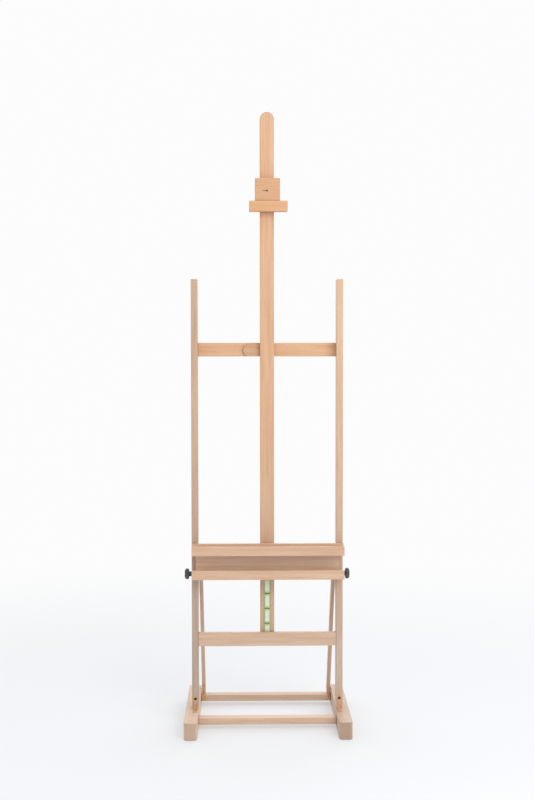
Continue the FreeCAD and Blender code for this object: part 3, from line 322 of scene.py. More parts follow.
def clean_copy(node, name, body, bevel=0.0):
    """The copy rides on its body and stands in for the node; stamped metal gets a small bevel."""
    piece = merged(node, name)
    if bevel:
        broken = piece.modifiers.new("broken_edges", "BEVEL")
        broken.width = bevel
        broken.segments = 2
        broken.limit_method = "ANGLE"
        broken.angle_limit = SHARP_ANGLE
    weighted = piece.modifiers.new("flat_faces_stay_flat", "WEIGHTED_NORMAL")
    weighted.keep_sharp = True
    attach(piece, body)
    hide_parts(node)
    return piece


print("edges stay sharp over", round(math.degrees(SHARP_ANGLE)), "degrees")


# %% [markdown]
# ## Which way the grain runs
#
# A joiner cuts every board along its grain, so the pattern has to follow the length of each
# piece, and of the leaning struts too. One direction for the whole easel would be simpler, but
# the rails would look sawn across. The higher boards are painted warmer and the lower ones paler,
# and tall pieces cooler towards their feet: painted light. Some boards came darker from the pile.
# The face of the clamp block is painted darker in a short streak just left of its screw.

# %% Every board, with the run of its grain
strut_low, strut_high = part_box("strut_left")
STRUT_LEAN = math.atan2(strut_high.y - strut_low.y, strut_high.z - strut_low.z)
ALONG = {
    "x": (0.0, -math.pi / 2, 0.0),
    "y": (math.pi / 2, 0.0, 0.0),
    "z": (0.0, 0.0, 0.0),
    "strut": (-STRUT_LEAN, 0.0, 0.0),
}
BOARDS = {
    "base": {"foot_left": "y", "foot_right": "y", "crossbar_front": "x", "crossbar_rear": "x"},
    "frame": {"upright_left": "z", "upright_right": "z", "upper_rail": "x", "lower_rail": "x",
              "mast_keeper": "x", "lower_rail_dowels": "x"},
    "mast": {"mast": "z", "tray_spacer": "z", "tray_back_board": "x", "canvas_fence": "x",
             "canvas_floor": "x", "canvas_front_lip": "x", "shelf_floor": "x", "shelf_front_lip": "x"},
    "lever": {"mast_lever": "x"},
    "clamp": {"clamp_block": "x", "clamp_cheek_left": "z", "clamp_cheek_right": "z",
              "clamp_back_plate": "x", "clamp_bar": "x"},
    "strut_left": {"strut_left": "strut"},
    "strut_right": {"strut_right": "strut"},
}
DARKER = {
    "upright_left": 0.84, "foot_right": 0.80, "strut_left": 0.88, "strut_right": 0.86,
    "lower_rail": 0.95, "crossbar_rear": 0.95, "clamp_block": 0.90, "mast_lever": 0.88, "mast": 0.96,
}
TALL = 1.0
# How far the painted corner shade reaches; the tray's back board gets a long reach, so it is painted darker
# under the canvas channel: painted shade.
CORNER_SHADE_REACH = 6 * MM
TRAY_SHADE_REACH = 22 * MM
PAINTED_WARMTH_BY_HEIGHT, WARMTH_SPREAD = 1.15, 0.10
screw_low, screw_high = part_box("clamp_face_screw")
# Centre of the darker streak on the face of the clamp block, just left of its screw.
STREAK_CENTRE = (screw_low.x - 7 * MM, screw_low.y, (screw_low.z + screw_high.z) / 2)
seed = 0
for body, boards in BOARDS.items():
    for node, run in boards.items():
        seed += 1
        low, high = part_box(node)
        # Painted light: higher boards are painted warmer and lower ones paler; the spread by seed is each
        # board's own tone.
        height = (low.z + high.z) / 2 / cad_high.z
        warmth = min(1.0, PAINTED_WARMTH_BY_HEIGHT * height + WARMTH_SPREAD * math.sin(seed * 4.7))
        piece = clean_copy(node, "wood_" + node, body)
        wood = beech("beech_" + node, (low + high) / 2, (high - low) / 2, ALONG[run], seed,
                     pale=1.0 - warmth, shade=DARKER.get(node, 1.0),
                     nook=TRAY_SHADE_REACH if node == "tray_back_board" else CORNER_SHADE_REACH,
                     tall=high.z - low.z > TALL, flaw=STREAK_CENTRE if node == "clamp_block" else None)
        piece.data.materials.clear()
        piece.data.materials.append(wood)
print("boards", seed)


# %% [markdown]
# ## Metal and plastic
#
# The fittings have five finishes: bronzed hinge plate, blackened screws, bright zinc, brass inserts
# and moulded plastic. Five separate graphs would repeat the same nodes, so one function makes them
# all: only colour, gloss, and the scale and direction of the wear differ. The rack's passivated
# zinc starts from it too, in its own cell. Rubbed edges are found from the shape itself, by
# comparing the shading normal with a widened one, so they follow every chamfer without a mask.

# %% Finishes for fittings
RUBBED_WIDTH = 0.4 * MM


def fitting(name, colour, worn, metallic, rough, grain, stretch=(1.0, 1.0, 1.0), bump=0.05):
    """Colour and worn colour, metal or not, roughness, fineness of the grain, depth of it in mm."""
    material, graph = new_material(name)
    place = graph.add("ShaderNodeTexCoord").outputs["Object"]
    drawn = graph.vector("MULTIPLY", place, stretch)
    fine = graph.noise(drawn, grain, 4.0, 0.6)
    broad = graph.noise(place, 90.0, 3.0, 0.6)
    pits = graph.add("ShaderNodeTexVoronoi", {"Vector": place, "Scale": grain * 0.7}).outputs["Distance"]
    wide = graph.add("ShaderNodeBevel", {"Radius": RUBBED_WIDTH}, samples=6)
    sharp = graph.add("ShaderNodeNewGeometry").outputs["Normal"]
    agree = graph.vector("DOT_PRODUCT", wide, sharp).outputs["Value"]
    rubbed = graph.math("MULTIPLY", graph.ramp(agree, 0.985, 0.90), graph.ramp(broad, 0.35, 0.60))
    base = graph.blend(graph.ramp(broad, 0.30, 0.70), colour, worn)
    base = graph.blend(graph.math("MULTIPLY", graph.ramp(fine, 0.45, 0.75), 0.25), base, worn)
    base = graph.blend(graph.math("MULTIPLY", rubbed, 0.7), base, worn)
    gloss = graph.math("ADD", rough - 0.08, graph.math("MULTIPLY", fine, 0.20))
    gloss = graph.math("SUBTRACT", gloss, graph.math("MULTIPLY", rubbed, 0.10), clamp=True)
    relief = graph.math("ADD", fine, graph.math("MULTIPLY", graph.ramp(pits, 0.0, 0.25), 0.4))
    normal = graph.add("ShaderNodeBump", {"Strength": 0.4, "Distance": bump * MM, "Height": relief})
    shader = graph.add("ShaderNodeBsdfPrincipled", {
        "Base Color": base, "Metallic": metallic, "Roughness": gloss, "Normal": normal})
    graph.add("ShaderNodeOutputMaterial", {"Surface": shader})
    return material, graph, base, shader


BRONZE = fitting("bronzed_plate", rgb(204, 158, 114), rgb(228, 188, 146), 0.55, 0.45, 700.0)[0]
DARK = fitting("blackened_steel", rgb(62, 40, 28), rgb(96, 66, 48), 0.6, 0.40, 900.0)[0]
ZINC = fitting("bright_zinc", rgb(196, 197, 194), rgb(222, 222, 218), 1.0, 0.30, 1100.0)[0]
BRASS = fitting("brass", rgb(205, 170, 104), rgb(226, 196, 136), 1.0, 0.28, 800.0)[0]
PLASTIC = fitting("moulded_plastic", rgb(50, 54, 56), rgb(74, 79, 80), 0.0, 0.46, 2600.0, bump=0.03)[0]
print("finishes", [m.name for m in (BRONZE, DARK, ZINC, BRASS, PLASTIC)])


# %% [markdown]
# ## Fittings that keep their CAD shape
#
# Hinge leaves, pins, washers, inserts and the pawl are stamped or turned parts whose outline the
# CAD model already holds to the tenth of a millimetre. What is missing is the broken edge of a
# stamped part, so these are cleaned copies with a small bevel. A copy without the bevel would
# look like cut paper from close by.

# %% Stamped and turned parts
STAMPED = {
    "foot_hinge_leaves": ("base", "hinge_bronze", BRONZE),
    "foot_hinge_pins": ("base", "hinge_bronze", BRONZE),
    "crossbar_hinge_leaves": ("base", "hinge_bronze", BRONZE),
    "crossbar_hinge_pins": ("base", "hinge_bronze", BRONZE),
    "frame_hinge_leaves": ("frame", "hinge_bronze", BRONZE),
    "strut_hinge_leaf_left": ("strut_left", "hinge_bronze", BRONZE),
    "strut_hinge_leaf_right": ("strut_right", "hinge_bronze", BRONZE),
    "tilt_washer_left": ("strut_left", "zinc_steel", ZINC),
    "tilt_washer_right": ("strut_right", "zinc_steel", ZINC),
    "tilt_bolt_left": ("strut_left", "zinc_steel", ZINC),
    "tilt_bolt_right": ("strut_right", "zinc_steel", ZINC),
    "mast_bolt_washer": ("frame", "zinc_steel", ZINC),
    "mast_bolt": ("frame", "zinc_steel", ZINC),
    "mast_bolt_nut": ("frame", "zinc_steel", ZINC),
    "pawl_pin": ("frame", "zinc_steel", ZINC),
    "pawl": ("pawl", "zinc_steel", ZINC),
    "tray_pins": ("mast", "zinc_steel", ZINC),
    "lever_insert": ("lever", "brass_insert", BRASS),
    "clamp_insert": ("clamp", "brass_insert", BRASS),
    "clamp_stud": ("clamp_knob", "zinc_steel", ZINC),
}
STAMPED_EDGE = 0.35 * MM
for node, (body, finish, material) in STAMPED.items():
    piece = clean_copy(node, "metal_" + node, body, bevel=STAMPED_EDGE)
    piece.data.materials.clear()
    piece.data.materials.append(material)
print("stamped parts", len(STAMPED))


# %% [markdown]
# ## Geometry Nodes with named inputs
#
# Screws, rack teeth, thread and the grip of the knobs repeat one shape. They could be copied in a
# loop, but then a change of pitch or number means a new script. A node tree keeps the rule itself:
# its inputs have names, and each piece gives its own values. When it has run, the result is kept
# as a plain mesh, because a body must carry solid geometry and not a recipe.

# %% Write and run a tree
def new_tree(name, sockets):
    tree = bpy.data.node_groups.new(name, "GeometryNodeTree")
    tree.interface.new_socket("Geometry", in_out="INPUT", socket_type="NodeSocketGeometry")
    for label, kind in sockets:
        tree.interface.new_socket(label, in_out="INPUT", socket_type="NodeSocket" + kind)
    tree.interface.new_socket("Geometry", in_out="OUTPUT", socket_type="NodeSocketGeometry")
    graph = Graph(tree)
    return tree, graph, graph.add("NodeGroupInput").outputs


def end_tree(graph, geometry, material):
    """Instances become real faces, all in one material."""
    solid = graph.add("GeometryNodeRealizeInstances", {"Geometry": geometry})
    coated = graph.add("GeometryNodeSetMaterial", {"Geometry": solid, "Material": material})
    graph.add("NodeGroupOutput", {"Geometry": coated})


def run_tree(piece, tree, **values):
    """Run the tree on the piece with its named inputs, and keep the result as a plain mesh."""
    modifier = piece.modifiers.new(tree.name, "NODES")
    modifier.node_group = tree
    for item in tree.interface.items_tree:
        if item.in_out == "INPUT" and item.name in values:
            modifier[item.identifier] = values[item.name]
    depsgraph = bpy.context.evaluated_depsgraph_get()
    solid = bpy.data.meshes.new_from_object(piece.evaluated_get(depsgraph))
    piece.modifiers.clear()
    piece.data = solid
    return piece


def add_piece(name, points, faces=()):
    mesh = bpy.data.meshes.new(name)
    mesh.from_pydata([tuple(p) for p in points], [], [tuple(f) for f in faces])
    piece = bpy.data.objects.new(name, mesh)
    bpy.context.scene.collection.objects.link(piece)
    return piece


def shade(piece, sharp=35):
    """Smooth faces with sharp edges, as the normals of a closed solid."""
    shape = bmesh.new()
    shape.from_mesh(piece.data)
    bmesh.ops.recalc_face_normals(shape, faces=shape.faces)
    if shape.calc_volume(signed=True) < 0:
        bmesh.ops.reverse_faces(shape, faces=shape.faces)
    for face in shape.faces:
        face.smooth = True
    for edge in shape.edges:
        edge.smooth = edge.calc_face_angle(0.0) < math.radians(sharp)
    shape.to_mesh(piece.data)
    shape.free()
    return piece


def turned(profile, around=32):
    """Points and faces of a closed shape turned about Z; the profile starts and ends on the axis."""
    points, faces = [], []
    for radius, height in profile[1:-1]:
        points += [(radius * math.cos(2 * math.pi * n / around),
                    radius * math.sin(2 * math.pi * n / around), height) for n in range(around)]
    rows = len(profile) - 2
    first, last = len(points), len(points) + 1
    points += [(0.0, 0.0, profile[0][1]), (0.0, 0.0, profile[-1][1])]
    for n in range(around):
        m = (n + 1) % around
        faces.append((first, m, n))
        faces.append((last, (rows - 1) * around + n, (rows - 1) * around + m))
        faces += [(r * around + n, r * around + m, (r + 1) * around + m, (r + 1) * around + n)
                  for r in range(rows - 1)]
    return points, faces


disc_points, disc_faces = turned([(0.0, 0.0), (MM, 0.0), (MM, MM), (0.0, MM)])
print("a turned disc has", len(disc_points), "points and", len(disc_faces), "faces")


# %% [markdown]
# ## Screws and bolts
#
# A wood screw has a domed head with a cross recess that the driver cut bright, and a pointed
# shank. Each solid of a CAD node is one screw, so place, direction, head and length are all read
# from its points: the long axis gives the direction, and the wide end is the head.

# %% Find the screws in a node
def solids(node):
    """The points of each separate solid of a CAD node."""
    shape = bmesh.new()
    shape.from_mesh(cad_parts[node].data)
    bmesh.ops.remove_doubles(shape, verts=shape.verts, dist=WELD)
    groups, seen = [], set()
    for start in shape.verts:
        if start in seen:
            continue
        group, queue = [], [start]
        seen.add(start)
        while queue:
            vert = queue.pop()
            group.append(vert.co.copy())
            for edge in vert.link_edges:
                other = edge.other_vert(vert)
                if other not in seen:
                    seen.add(other)
                    queue.append(other)
        groups.append(group)
    shape.free()
    return groups


def read_screw(points):
    """Underside of the head, outward direction, and the radii and lengths of one solid."""
    centre = sum(points, Vector()) / len(points)
    far = max(points, key=lambda p: (p - centre).length)
    axis = (max(points, key=lambda p: (p - far).length) - far).normalized()
    spread = Matrix(((0,) * 3,) * 3)
    for p in points:
        d = p - centre
        spread += Matrix([[d[a] * d[b] for b in range(3)] for a in range(3)])
    # Repeated multiplication turns the axis to the direction of the widest spread.
    for _ in range(60):
        axis = (spread @ axis).normalized()
    along = [(p - centre).dot(axis) for p in points]
    away = [((p - centre) - axis * t).length for p, t in zip(points, along)]
    head = max(away)
    top_side = [t for t, r in zip(along, away) if r > 0.9 * head]
    if sum(top_side) < 0:
        axis = -axis
        along = [-t for t in along]
        top_side = [-t for t in top_side]
    under, top, tip = min(top_side), max(along), min(along)
    shank = max(r for t, r in zip(along, away) if t < tip + 0.1 * MM)
    return centre + axis * under, axis, head, top - under, shank, under - tip


print("clamp face screw length mm", round(read_screw(solids("clamp_face_screw")[0])[5] / MM, 1))


def screw_body(head, dome, shank, length, recess):
    """One screw along Z, head up, its underside at the origin."""
    pitch = 1.1 * shank
    profile = [(0.0, -length), (0.30 * shank, -length + 0.6 * shank)]
    height = -length + 2.0 * shank
    while height < -0.35 * length:
        profile += [(0.70 * shank, height), (0.98 * shank, height + 0.45 * pitch)]
        height += pitch
    profile += [(0.86 * shank, height), (0.86 * shank, 0.0), (head - 0.15 * MM, 0.0)]
    profile += [(head, 0.12 * dome), (head, 0.30 * dome)]
    profile += [(head * math.cos(a), dome * (0.30 + 0.70 * math.sin(a)))
                for a in (math.radians(d) for d in (20, 40, 60, 75))]
    profile.append((0.0, dome))
    blank = add_piece("screw_blank", *turned(profile, 24))
    if recess == "hex":
        cutter = [(0.62 * head * math.cos(n * math.pi / 3), 0.62 * head * math.sin(n * math.pi / 3))
                  for n in range(6)]
    else:
        a, b = 0.62 * head, 0.14 * head
        cutter = [(a, -b), (a, b), (b, b), (b, a), (-b, a), (-b, b),
                  (-a, b), (-a, -b), (-b, -b), (-b, -a), (b, -a), (b, -b)]
    count = len(cutter)
    narrow, deep = 0.72, 0.35 * dome
    points = [(x * narrow, y * narrow, deep) for x, y in cutter]
    points += [(x, y, dome * 1.6) for x, y in cutter]
    faces = [tuple(reversed(range(count))), tuple(range(count, 2 * count))]
    faces += [(n, (n + 1) % count, count + (n + 1) % count, count + n) for n in range(count)]
    tool = add_piece("screw_recess", points, faces)
    cut = blank.modifiers.new("recess", "BOOLEAN")
    cut.operation = "DIFFERENCE"
    cut.object = tool
    cut.solver = "EXACT"
    solid = bpy.data.meshes.new_from_object(blank.evaluated_get(bpy.context.evaluated_depsgraph_get()))
    blank.modifiers.clear()
    blank.data = solid
    bpy.data.objects.remove(tool)
    return shade(blank, 40)


# %% Set screws at their places
def screw_tree():
    tree, graph, given = new_tree("set_screws", [
        ("Screw", "Object"), ("Seed", "Int"), ("Material", "Material")])
    out = graph.add("GeometryNodeInputNamedAttribute", {"Name": "out"}, data_type="FLOAT_VECTOR")
    upright = graph.add("FunctionNodeAlignRotationToVector", {"Vector": out.outputs["Attribute"]}, axis="Z")
    spin = graph.add("FunctionNodeRandomValue", {"Seed": given["Seed"]}, data_type="FLOAT")
    graph.feed(spin.inputs[3], math.tau)
    angle = graph.add("ShaderNodeCombineXYZ", {"Z": spin.outputs[1]})
    turn = graph.add("FunctionNodeRotateRotation", {"Rotation": upright}, rotation_space="LOCAL")
    graph.feed(turn.inputs["Rotate By"], graph.add("FunctionNodeEulerToRotation", {"Euler": angle}))
    source = graph.add("GeometryNodeObjectInfo", {"Object": given["Screw"]})
    placed = graph.add("GeometryNodeInstanceOnPoints", {
        "Points": given["Geometry"], "Instance": source.outputs["Geometry"], "Rotation": turn})
    end_tree(graph, placed, given["Material"])
    return tree


SCREW_TREE = screw_tree()
SCREWED = {
    "crossbar_bolts": ("base", "hex", ZINC, "zinc_steel"),
    "base_hinge_screws": ("base", "cross", BRONZE, "hinge_bronze"),
    "frame_hinge_screws": ("frame", "cross", BRONZE, "hinge_bronze"),
    "strut_hinge_screws_left": ("strut_left", "cross", BRONZE, "hinge_bronze"),
    "strut_hinge_screws_right": ("strut_right", "cross", BRONZE, "hinge_bronze"),
    "frame_screws": ("frame", "cross", ZINC, "zinc_steel"),
    "rack_screws": ("mast", "cross", ZINC, "rack_zinc"),
    "tray_screws": ("mast", "cross", ZINC, "zinc_steel"),
    "clamp_screws": ("clamp", "cross", ZINC, "zinc_steel"),
    "clamp_face_screw": ("clamp", "cross", DARK, "dark_screw"),
}
WIDE_HEAD = 4.2 * MM
made = 0
for node, (body, recess, material, finish) in SCREWED.items():
    kinds = {}
    for points in solids(node):
        foot, out, head, dome, shank, length = read_screw(points)
        kind = tuple(round(v, 5) for v in (head, dome, shank, length))
        kinds.setdefault(kind, []).append((foot, out))
    for number, (kind, places) in enumerate(sorted(kinds.items())):
        dark = node == "frame_hinge_screws" and kind[0] > WIDE_HEAD
        source = screw_body(*kind, recess)
        piece = add_piece("%s_%d" % (node, number), [foot for foot, _ in places])
        outward = piece.data.attributes.new("out", "FLOAT_VECTOR", "POINT")
        for item, (_, out) in zip(outward.data, places):
            item.vector = out
        run_tree(piece, SCREW_TREE, Screw=source, Seed=made, Material=DARK if dark else material)
        bpy.data.objects.remove(source)
        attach(piece, body)
        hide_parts(node)
        made += len(places)
print("screws and bolts", made)


# %% [markdown]
# ## The toothed rack
#
# The rack is a steel strip with saw teeth that the pawl catches. Each tooth is a pressed plate:
# it leans out to a ledge at its lower end and has a shallow panel in its face. The teeth could be
# one extruded outline, but the dark slot under each ledge would be lost. Here one tooth is made,
# and the tree repeats it at the pitch of the CAD rack.

# %% Rack
PASSIVATED = rgb(170, 196, 130)
# Dark olive painted into each notch under a ledge: painted shade.
NOTCH_PAINTED_SHADE = rgb(84, 82, 40)
TOOTH_SLOT = 3.4 * MM
TOOTH_SUNK = 0.02 * MM


def tooth(name, half, height, thin, thick, slot=0.0):
    """A tooth along Z from its ledge, its back on the plane Y = 0 and its face towards -Y."""
    lip, panel, sink = 0.5 * MM, 2.2 * MM, 0.35 * MM

    def face_y(z):
        return -(thick + (thin - thick) * z / height)

    def ring(x, low, high, depth):
        return [(-x, face_y(low) + depth, low), (x, face_y(low) + depth, low),
                (x, face_y(high) + depth, high), (-x, face_y(high) + depth, high)]

    rings = [
        [(-half, 0, slot), (half, 0, slot), (half, 0, height), (-half, 0, height)],
        ring(half, slot, height, lip),
        ring(half - lip, slot + lip, height - lip, 0.0),
        ring(half - panel, slot + panel, height - panel, 0.0),
        ring(half - panel - sink, slot + panel + sink, height - panel - sink, sink),
    ]
    points = [p for r in rings for p in r]
    faces = [(0, 1, 2, 3), tuple(16 + n for n in (3, 2, 1, 0))]
    for r in range(len(rings) - 1):
        faces += [(4 * r + n, 4 * r + 4 + n, 4 * r + 4 + (n + 1) % 4, 4 * r + (n + 1) % 4)
                  for n in range(4)]
    return shade(add_piece(name, points, faces), 12)


def repeat_tree():
    tree, graph, given = new_tree("repeat_upwards", [
        ("Count", "Int"), ("Start", "Vector"), ("Pitch", "Float"), ("Tooth", "Object"),
        ("Material", "Material")])
    step = graph.add("ShaderNodeCombineXYZ", {"Z": given["Pitch"]})
    line = graph.add("GeometryNodeMeshLine", {
        "Count": given["Count"], "Start Location": given["Start"], "Offset": step}, mode="OFFSET")
    source = graph.add("GeometryNodeObjectInfo", {"Object": given["Tooth"]})
    placed = graph.add("GeometryNodeInstanceOnPoints", {
        "Points": line, "Instance": source.outputs["Geometry"]})
    joined = graph.add("GeometryNodeJoinGeometry")
    graph.feed(joined.inputs[0], placed)
    graph.feed(joined.inputs[0], given["Geometry"])
    end_tree(graph, joined, given["Material"])
    return tree


def rack_finish(half, first, pitch):
    """Zinc under yellow-green passivation along the edges; the green at both ends of each tooth is partly
    passivation and partly painted shade, and the dark band in each notch is painted shade.
    """
    material, graph, base, shader = fitting(
        "passivated_zinc", rgb(206, 220, 196), rgb(226, 234, 216), 0.20, 0.40, 700.0, (1.0, 1.0, 0.08))
    place = graph.add("ShaderNodeTexCoord").outputs["Object"]
    split = graph.add("ShaderNodeSeparateXYZ", {"Vector": place})
    side = graph.math("ABSOLUTE", split.outputs["X"])
    above = graph.math("DIVIDE", graph.math("SUBTRACT", split.outputs["Z"], first), pitch)
    phase = graph.math("FRACT", above)
    # Green along the side edges is passivation; the green bands at both ends of each tooth are partly
    # passivation and partly painted shade.
    rim = graph.math("MAXIMUM", graph.ramp(side, 0.45 * half, 0.92 * half),
                     graph.math("MAXIMUM", graph.ramp(phase, 0.26, 0.08), graph.ramp(phase, 0.78, 0.96)))
    lowest = graph.math("MULTIPLY", graph.ramp(above, 0.75, 0.45), 0.6)
    green = graph.math("MAXIMUM", rim, lowest)
    passivation_and_end_shade = graph.math("MULTIPLY", green, graph.ramp(graph.noise(place, 60.0), 0.25, 0.55, 0.75, 1.0))
    colour = graph.blend(passivation_and_end_shade, base, PASSIVATED)
    # Painted shade: the bottom of each notch, under the ledge, is painted dark.
    colour = graph.blend(graph.ramp(phase, 0.080, 0.060, 0.0, 0.9), colour, NOTCH_PAINTED_SHADE)
    graph.feed(shader.inputs["Base Color"], colour)
    return material


low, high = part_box("rack")
profile_y = {}
for point in (p for group in solids("rack") for p in group):
    level = round(point.z, 4)
    profile_y[level] = min(profile_y.get(level, 0.0), point.y)
ledges = sorted(z for z, y in profile_y.items() if y < low.y + 0.1 * MM)
pitch = ledges[1] - ledges[0]
strip_face = profile_y[max(profile_y)]
back = high.y
strip = tooth("rack_strip", high.x, high.z - low.z, back - strip_face, back - strip_face)
strip.data.transform(Matrix.Translation((0.0, back, low.z)))
one = tooth("rack_tooth", high.x, pitch, back - strip_face, back - low.y, TOOTH_SLOT)
RACK = rack_finish(high.x, ledges[0], pitch)
run_tree(strip, repeat_tree(), Count=len(ledges), Start=(0.0, back - TOOTH_SUNK, ledges[0]),
         Pitch=pitch, Tooth=one, Material=RACK)
bpy.data.objects.remove(one)
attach(strip, "mast")
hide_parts("rack")
print("rack teeth", len(ledges), "pitch mm", round(pitch / MM, 1))


# %% [markdown]
# ## Knobs
#
# The clamping knobs are moulded in dark plastic: a hub, a crowned rim with hollows for the
# fingers, and a dished face. The hollows are a wave around the axis, so a tree that moves the
# points of a turned blank makes them rounder than cutting with cylinders would.

# %% Knobs
HOLLOWS = 8
HOLLOW_DEPTH = 2.2 * MM
RIM_BLEND = 1.5 * MM
KNOB_SIDES = 192


def knob_tree():
    tree, graph, given = new_tree("finger_hollows", [
        ("Hollows", "Int"), ("Depth", "Float"), ("Rim start", "Float"), ("Rim radius", "Float"),
        ("Material", "Material")])
    split = graph.add("ShaderNodeSeparateXYZ", {"Vector": graph.add("GeometryNodeInputPosition")})
    angle = graph.math("ARCTAN2", split.outputs["Y"], split.outputs["X"])
    wave = graph.math("COSINE", graph.math("MULTIPLY", angle, given["Hollows"]))
    hollow = graph.math("POWER", graph.math("MULTIPLY", graph.math("ADD", wave, 1.0), 0.5), 1.6)
    flat = graph.add("ShaderNodeCombineXYZ", {"X": split.outputs["X"], "Y": split.outputs["Y"]})
    out = graph.vector("LENGTH", flat).outputs["Value"]
    full_depth = graph.math("ADD", given["Rim start"], RIM_BLEND)
    on_rim = graph.ramp(split.outputs["Z"], given["Rim start"], full_depth)
    outside = graph.ramp(graph.math("DIVIDE", out, given["Rim radius"]), 0.55, 0.95)
    amount = graph.math("MULTIPLY", graph.math("MULTIPLY", hollow, on_rim), outside)
    inward = graph.math("MULTIPLY", amount, graph.math("MULTIPLY", given["Depth"], -1.0))
    unit = graph.vector("NORMALIZE", flat)
    offset = graph.add("ShaderNodeVectorMath", operation="SCALE")
    graph.feed(offset.inputs[0], unit)
    graph.feed(offset.inputs["Scale"], inward)
    moved = graph.add("GeometryNodeSetPosition", {"Geometry": given["Geometry"], "Offset": offset})
    end_tree(graph, moved, given["Material"])
    return tree


def knob_profile(radius, length, hub, hub_length):
    """Half section from the middle of the hub's foot to the middle of the dished face."""
    profile = [(0.0, 0.0), (hub - 0.6 * MM, 0.0), (hub, 0.6 * MM), (hub, 0.5 * hub_length),
               (hub - 0.5 * MM, 0.5 * hub_length + 0.5 * MM), (hub, 0.5 * hub_length + MM),
               (hub, hub_length - MM), (hub + MM, hub_length), (0.80 * radius, hub_length + 0.2 * MM)]
    rim = length - hub_length
    for step in range(13):
        a = -math.pi / 2 + math.pi * step / 12
        crown = hub_length + rim * (0.45 + 0.40 * math.sin(a))
        profile.append((radius * (0.86 + 0.14 * math.cos(a)), crown))
    profile += [(0.74 * radius, length - 0.6 * MM), (0.62 * radius, length),
                (0.52 * radius, length - 0.3 * MM), (0.46 * radius, length - 1.2 * MM),
                (0.20 * radius, length - 1.5 * MM), (0.0, length - 1.5 * MM)]
    return profile


KNOBS = {"side_knob_left": ("knob_left", (-1, 0, 0)), "side_knob_right": ("knob_right", (1, 0, 0)),
         "clamp_knob": ("clamp_knob", (0, 1, 0))}
KNOB_TREE = knob_tree()
for node, (body, out) in KNOBS.items():
    low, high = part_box(node)
    out = Vector(out)
    size = high - low
    length = abs(size.dot(out))
    radius = max(size) / 2
    foot = (low + high) / 2 - out * length / 2
    near = [p for group in solids(node) for p in group if (p - foot).dot(out) < 0.1 * MM]
    hub = max((p - foot).length for p in near)
    collar = [(p - foot).dot(out) for group in solids(node) for p in group
              if abs(((p - foot) - out * (p - foot).dot(out)).length - hub) < 0.05 * MM]
    profile = knob_profile(radius, length, hub, max(collar))
    piece = add_piece("grip_" + node, *turned(profile, KNOB_SIDES))
    run_tree(piece, KNOB_TREE, **{
        "Hollows": HOLLOWS, "Depth": HOLLOW_DEPTH, "Rim start": max(collar) + 0.5 * MM,
        "Rim radius": radius, "Material": PLASTIC})
    turn = Vector((0, 0, 1)).rotation_difference(out).to_matrix().to_4x4()
    piece.data.transform(Matrix.Translation(foot) @ turn)
    shade(piece, 55)
    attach(piece, body)
    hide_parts(node)
    print(node, "hub radius mm", round(hub / MM, 1))


# %% [markdown]
# ## Studio
#
# The easel stands on a plain white sweep. A floor and a wall could be two planes, but the line
# where they meet would show, so the floor fades into the same white as the surroundings. Those are
# plain white to the camera, while the light that they give is stronger from behind and above. Two
# soft boxes do the rest: a large one at the front, and a weak one at the back for the edges.

# %% Floor, light and camera
WHITE = rgb(252, 252, 252)
FLOOR_PAINT = rgb(224, 229, 236)
FLOOR_REACH = 40.0
FADE_START, FADE_END, GLOW_AT_EASEL = 0.9, 3.6, 0.38
FRONT_FILL, BACK_WALL, CEILING = 0.60, 0.66, 0.30
SOFT_LIGHTS = {
    "back_window": {"place": (1.5, 4.2, 2.6), "target": (0, 0, 0.1), "width": 2.5, "height": 1.5,
                    "power": 25, "colour": rgb(255, 253, 250)},
    "front_box": {"place": (1.6, -3.2, 3.0), "target": (0, 0, 0.5), "width": 2.2, "height": 2.2,
                  "power": 68, "colour": rgb(255, 250, 244)},
}
LENS_MM, SENSOR_MM = 52.7, 36.0
CAMERA_PLACE = (-0.0821, -4.5179, 1.4366)
PITCH, YAW, ROLL = math.radians(-2.394), math.radians(-1.054), math.radians(-0.053)


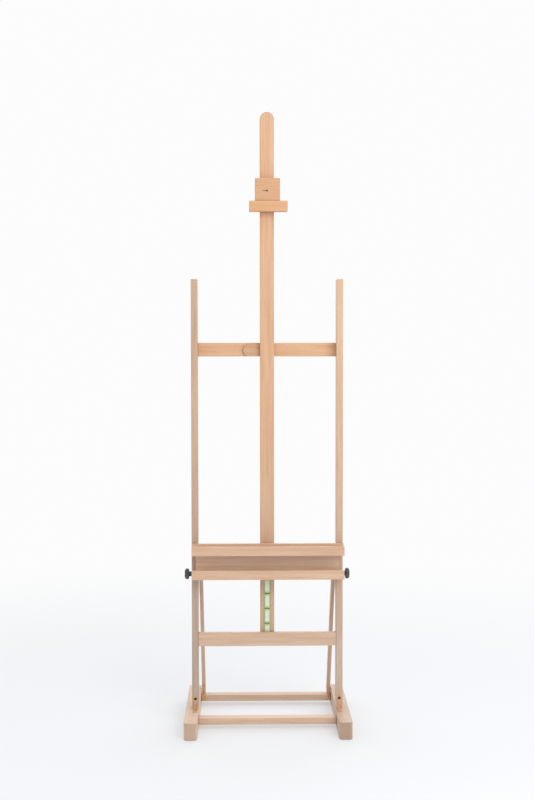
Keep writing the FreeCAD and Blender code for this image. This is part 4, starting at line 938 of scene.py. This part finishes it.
def stage_floor():
    mesh = bpy.data.meshes.new("studio_floor")
    reach = FLOOR_REACH
    corners = [(-reach, -reach, 0), (reach, -reach, 0), (reach, reach, 0), (-reach, reach, 0)]
    mesh.from_pydata(corners, [], [(0, 1, 2, 3)])
    floor = bpy.data.objects.new("studio_floor", mesh)
    bpy.context.scene.collection.objects.link(floor)
    material, graph = new_material("studio_white")
    place = graph.add("ShaderNodeTexCoord").outputs["Object"]
    distance = graph.vector("LENGTH", place).outputs["Value"]
    paint = graph.add("ShaderNodeBsdfDiffuse", {"Color": FLOOR_PAINT})
    glow = graph.add("ShaderNodeEmission", {"Color": WHITE, "Strength": 1.0})
    # Near the easel part of the floor glows, painted light that lifts the shadows there; farther out it is
    # all glow, the same white as the surroundings.
    white = graph.ramp(distance, FADE_START, FADE_END, GLOW_AT_EASEL, 1.0)
    fade = graph.add("ShaderNodeMixShader", {"Fac": white})
    graph.feed(fade.inputs[1], paint)
    graph.feed(fade.inputs[2], glow)
    graph.add("ShaderNodeOutputMaterial", {"Surface": fade})
    mesh.materials.append(material)
    floor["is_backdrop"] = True


def soft_light(name, place, target, width, height, power, colour):
    data = bpy.data.lights.new(name, "AREA")
    data.shape = "RECTANGLE"
    data.size = width
    data.size_y = height
    data.energy = power
    data.color = colour[:3]
    light = bpy.data.objects.new(name, data)
    light.location = place
    light.visible_camera = False
    light.rotation_euler = (Vector(target) - Vector(place)).to_track_quat("-Z", "Y").to_euler()
    bpy.context.scene.collection.objects.link(light)


def studio_air():
    """White to the camera; as light, strongest from the bright wall behind the easel and from above."""
    world = bpy.data.worlds.new("studio_air")
    world.use_nodes = True
    air = Graph(world.node_tree)
    towards = air.add("ShaderNodeSeparateXYZ", {
        "Vector": air.add("ShaderNodeTexCoord").outputs["Generated"]})
    behind = air.ramp(towards.outputs["Y"], -0.1, 0.9, 0.0, BACK_WALL)
    above = air.ramp(towards.outputs["Z"], 0.0, 1.0, 0.0, CEILING)
    level = air.math("ADD", air.math("ADD", behind, above), FRONT_FILL)
    light = air.add("ShaderNodeBackground", {"Color": rgb(254, 252, 250), "Strength": level})
    seen = air.add("ShaderNodeBackground", {"Color": WHITE, "Strength": 1.0})
    choose = air.add("ShaderNodeMixShader", {"Fac": air.add("ShaderNodeLightPath").outputs["Is Camera Ray"]})
    air.feed(choose.inputs[1], light)
    air.feed(choose.inputs[2], seen)
    air.add("ShaderNodeOutputWorld", {"Surface": choose})
    bpy.context.scene.world = world


stage_floor()
studio_air()
for name, light in SOFT_LIGHTS.items():
    soft_light(name, **light)

camera_data = bpy.data.cameras.new("photographer")
camera_data.lens = LENS_MM
camera_data.sensor_width = SENSOR_MM
camera = bpy.data.objects.new("photographer", camera_data)
camera.location = CAMERA_PLACE
turned_to = Matrix.Rotation(YAW, 3, "Z") @ Matrix.Rotation(math.pi / 2 + PITCH, 3, "X")
camera.rotation_euler = (turned_to @ Matrix.Rotation(ROLL, 3, "Z")).to_euler()
bpy.context.scene.collection.objects.link(camera)
bpy.context.scene.camera = camera
bpy.context.scene.view_settings.view_transform = "Standard"
print("soft lights", list(SOFT_LIGHTS), "lens mm", LENS_MM)

# %% Sizes, for comparison, and the end
low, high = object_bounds()
print("visual model", [round(v, 3) for v in high - low])
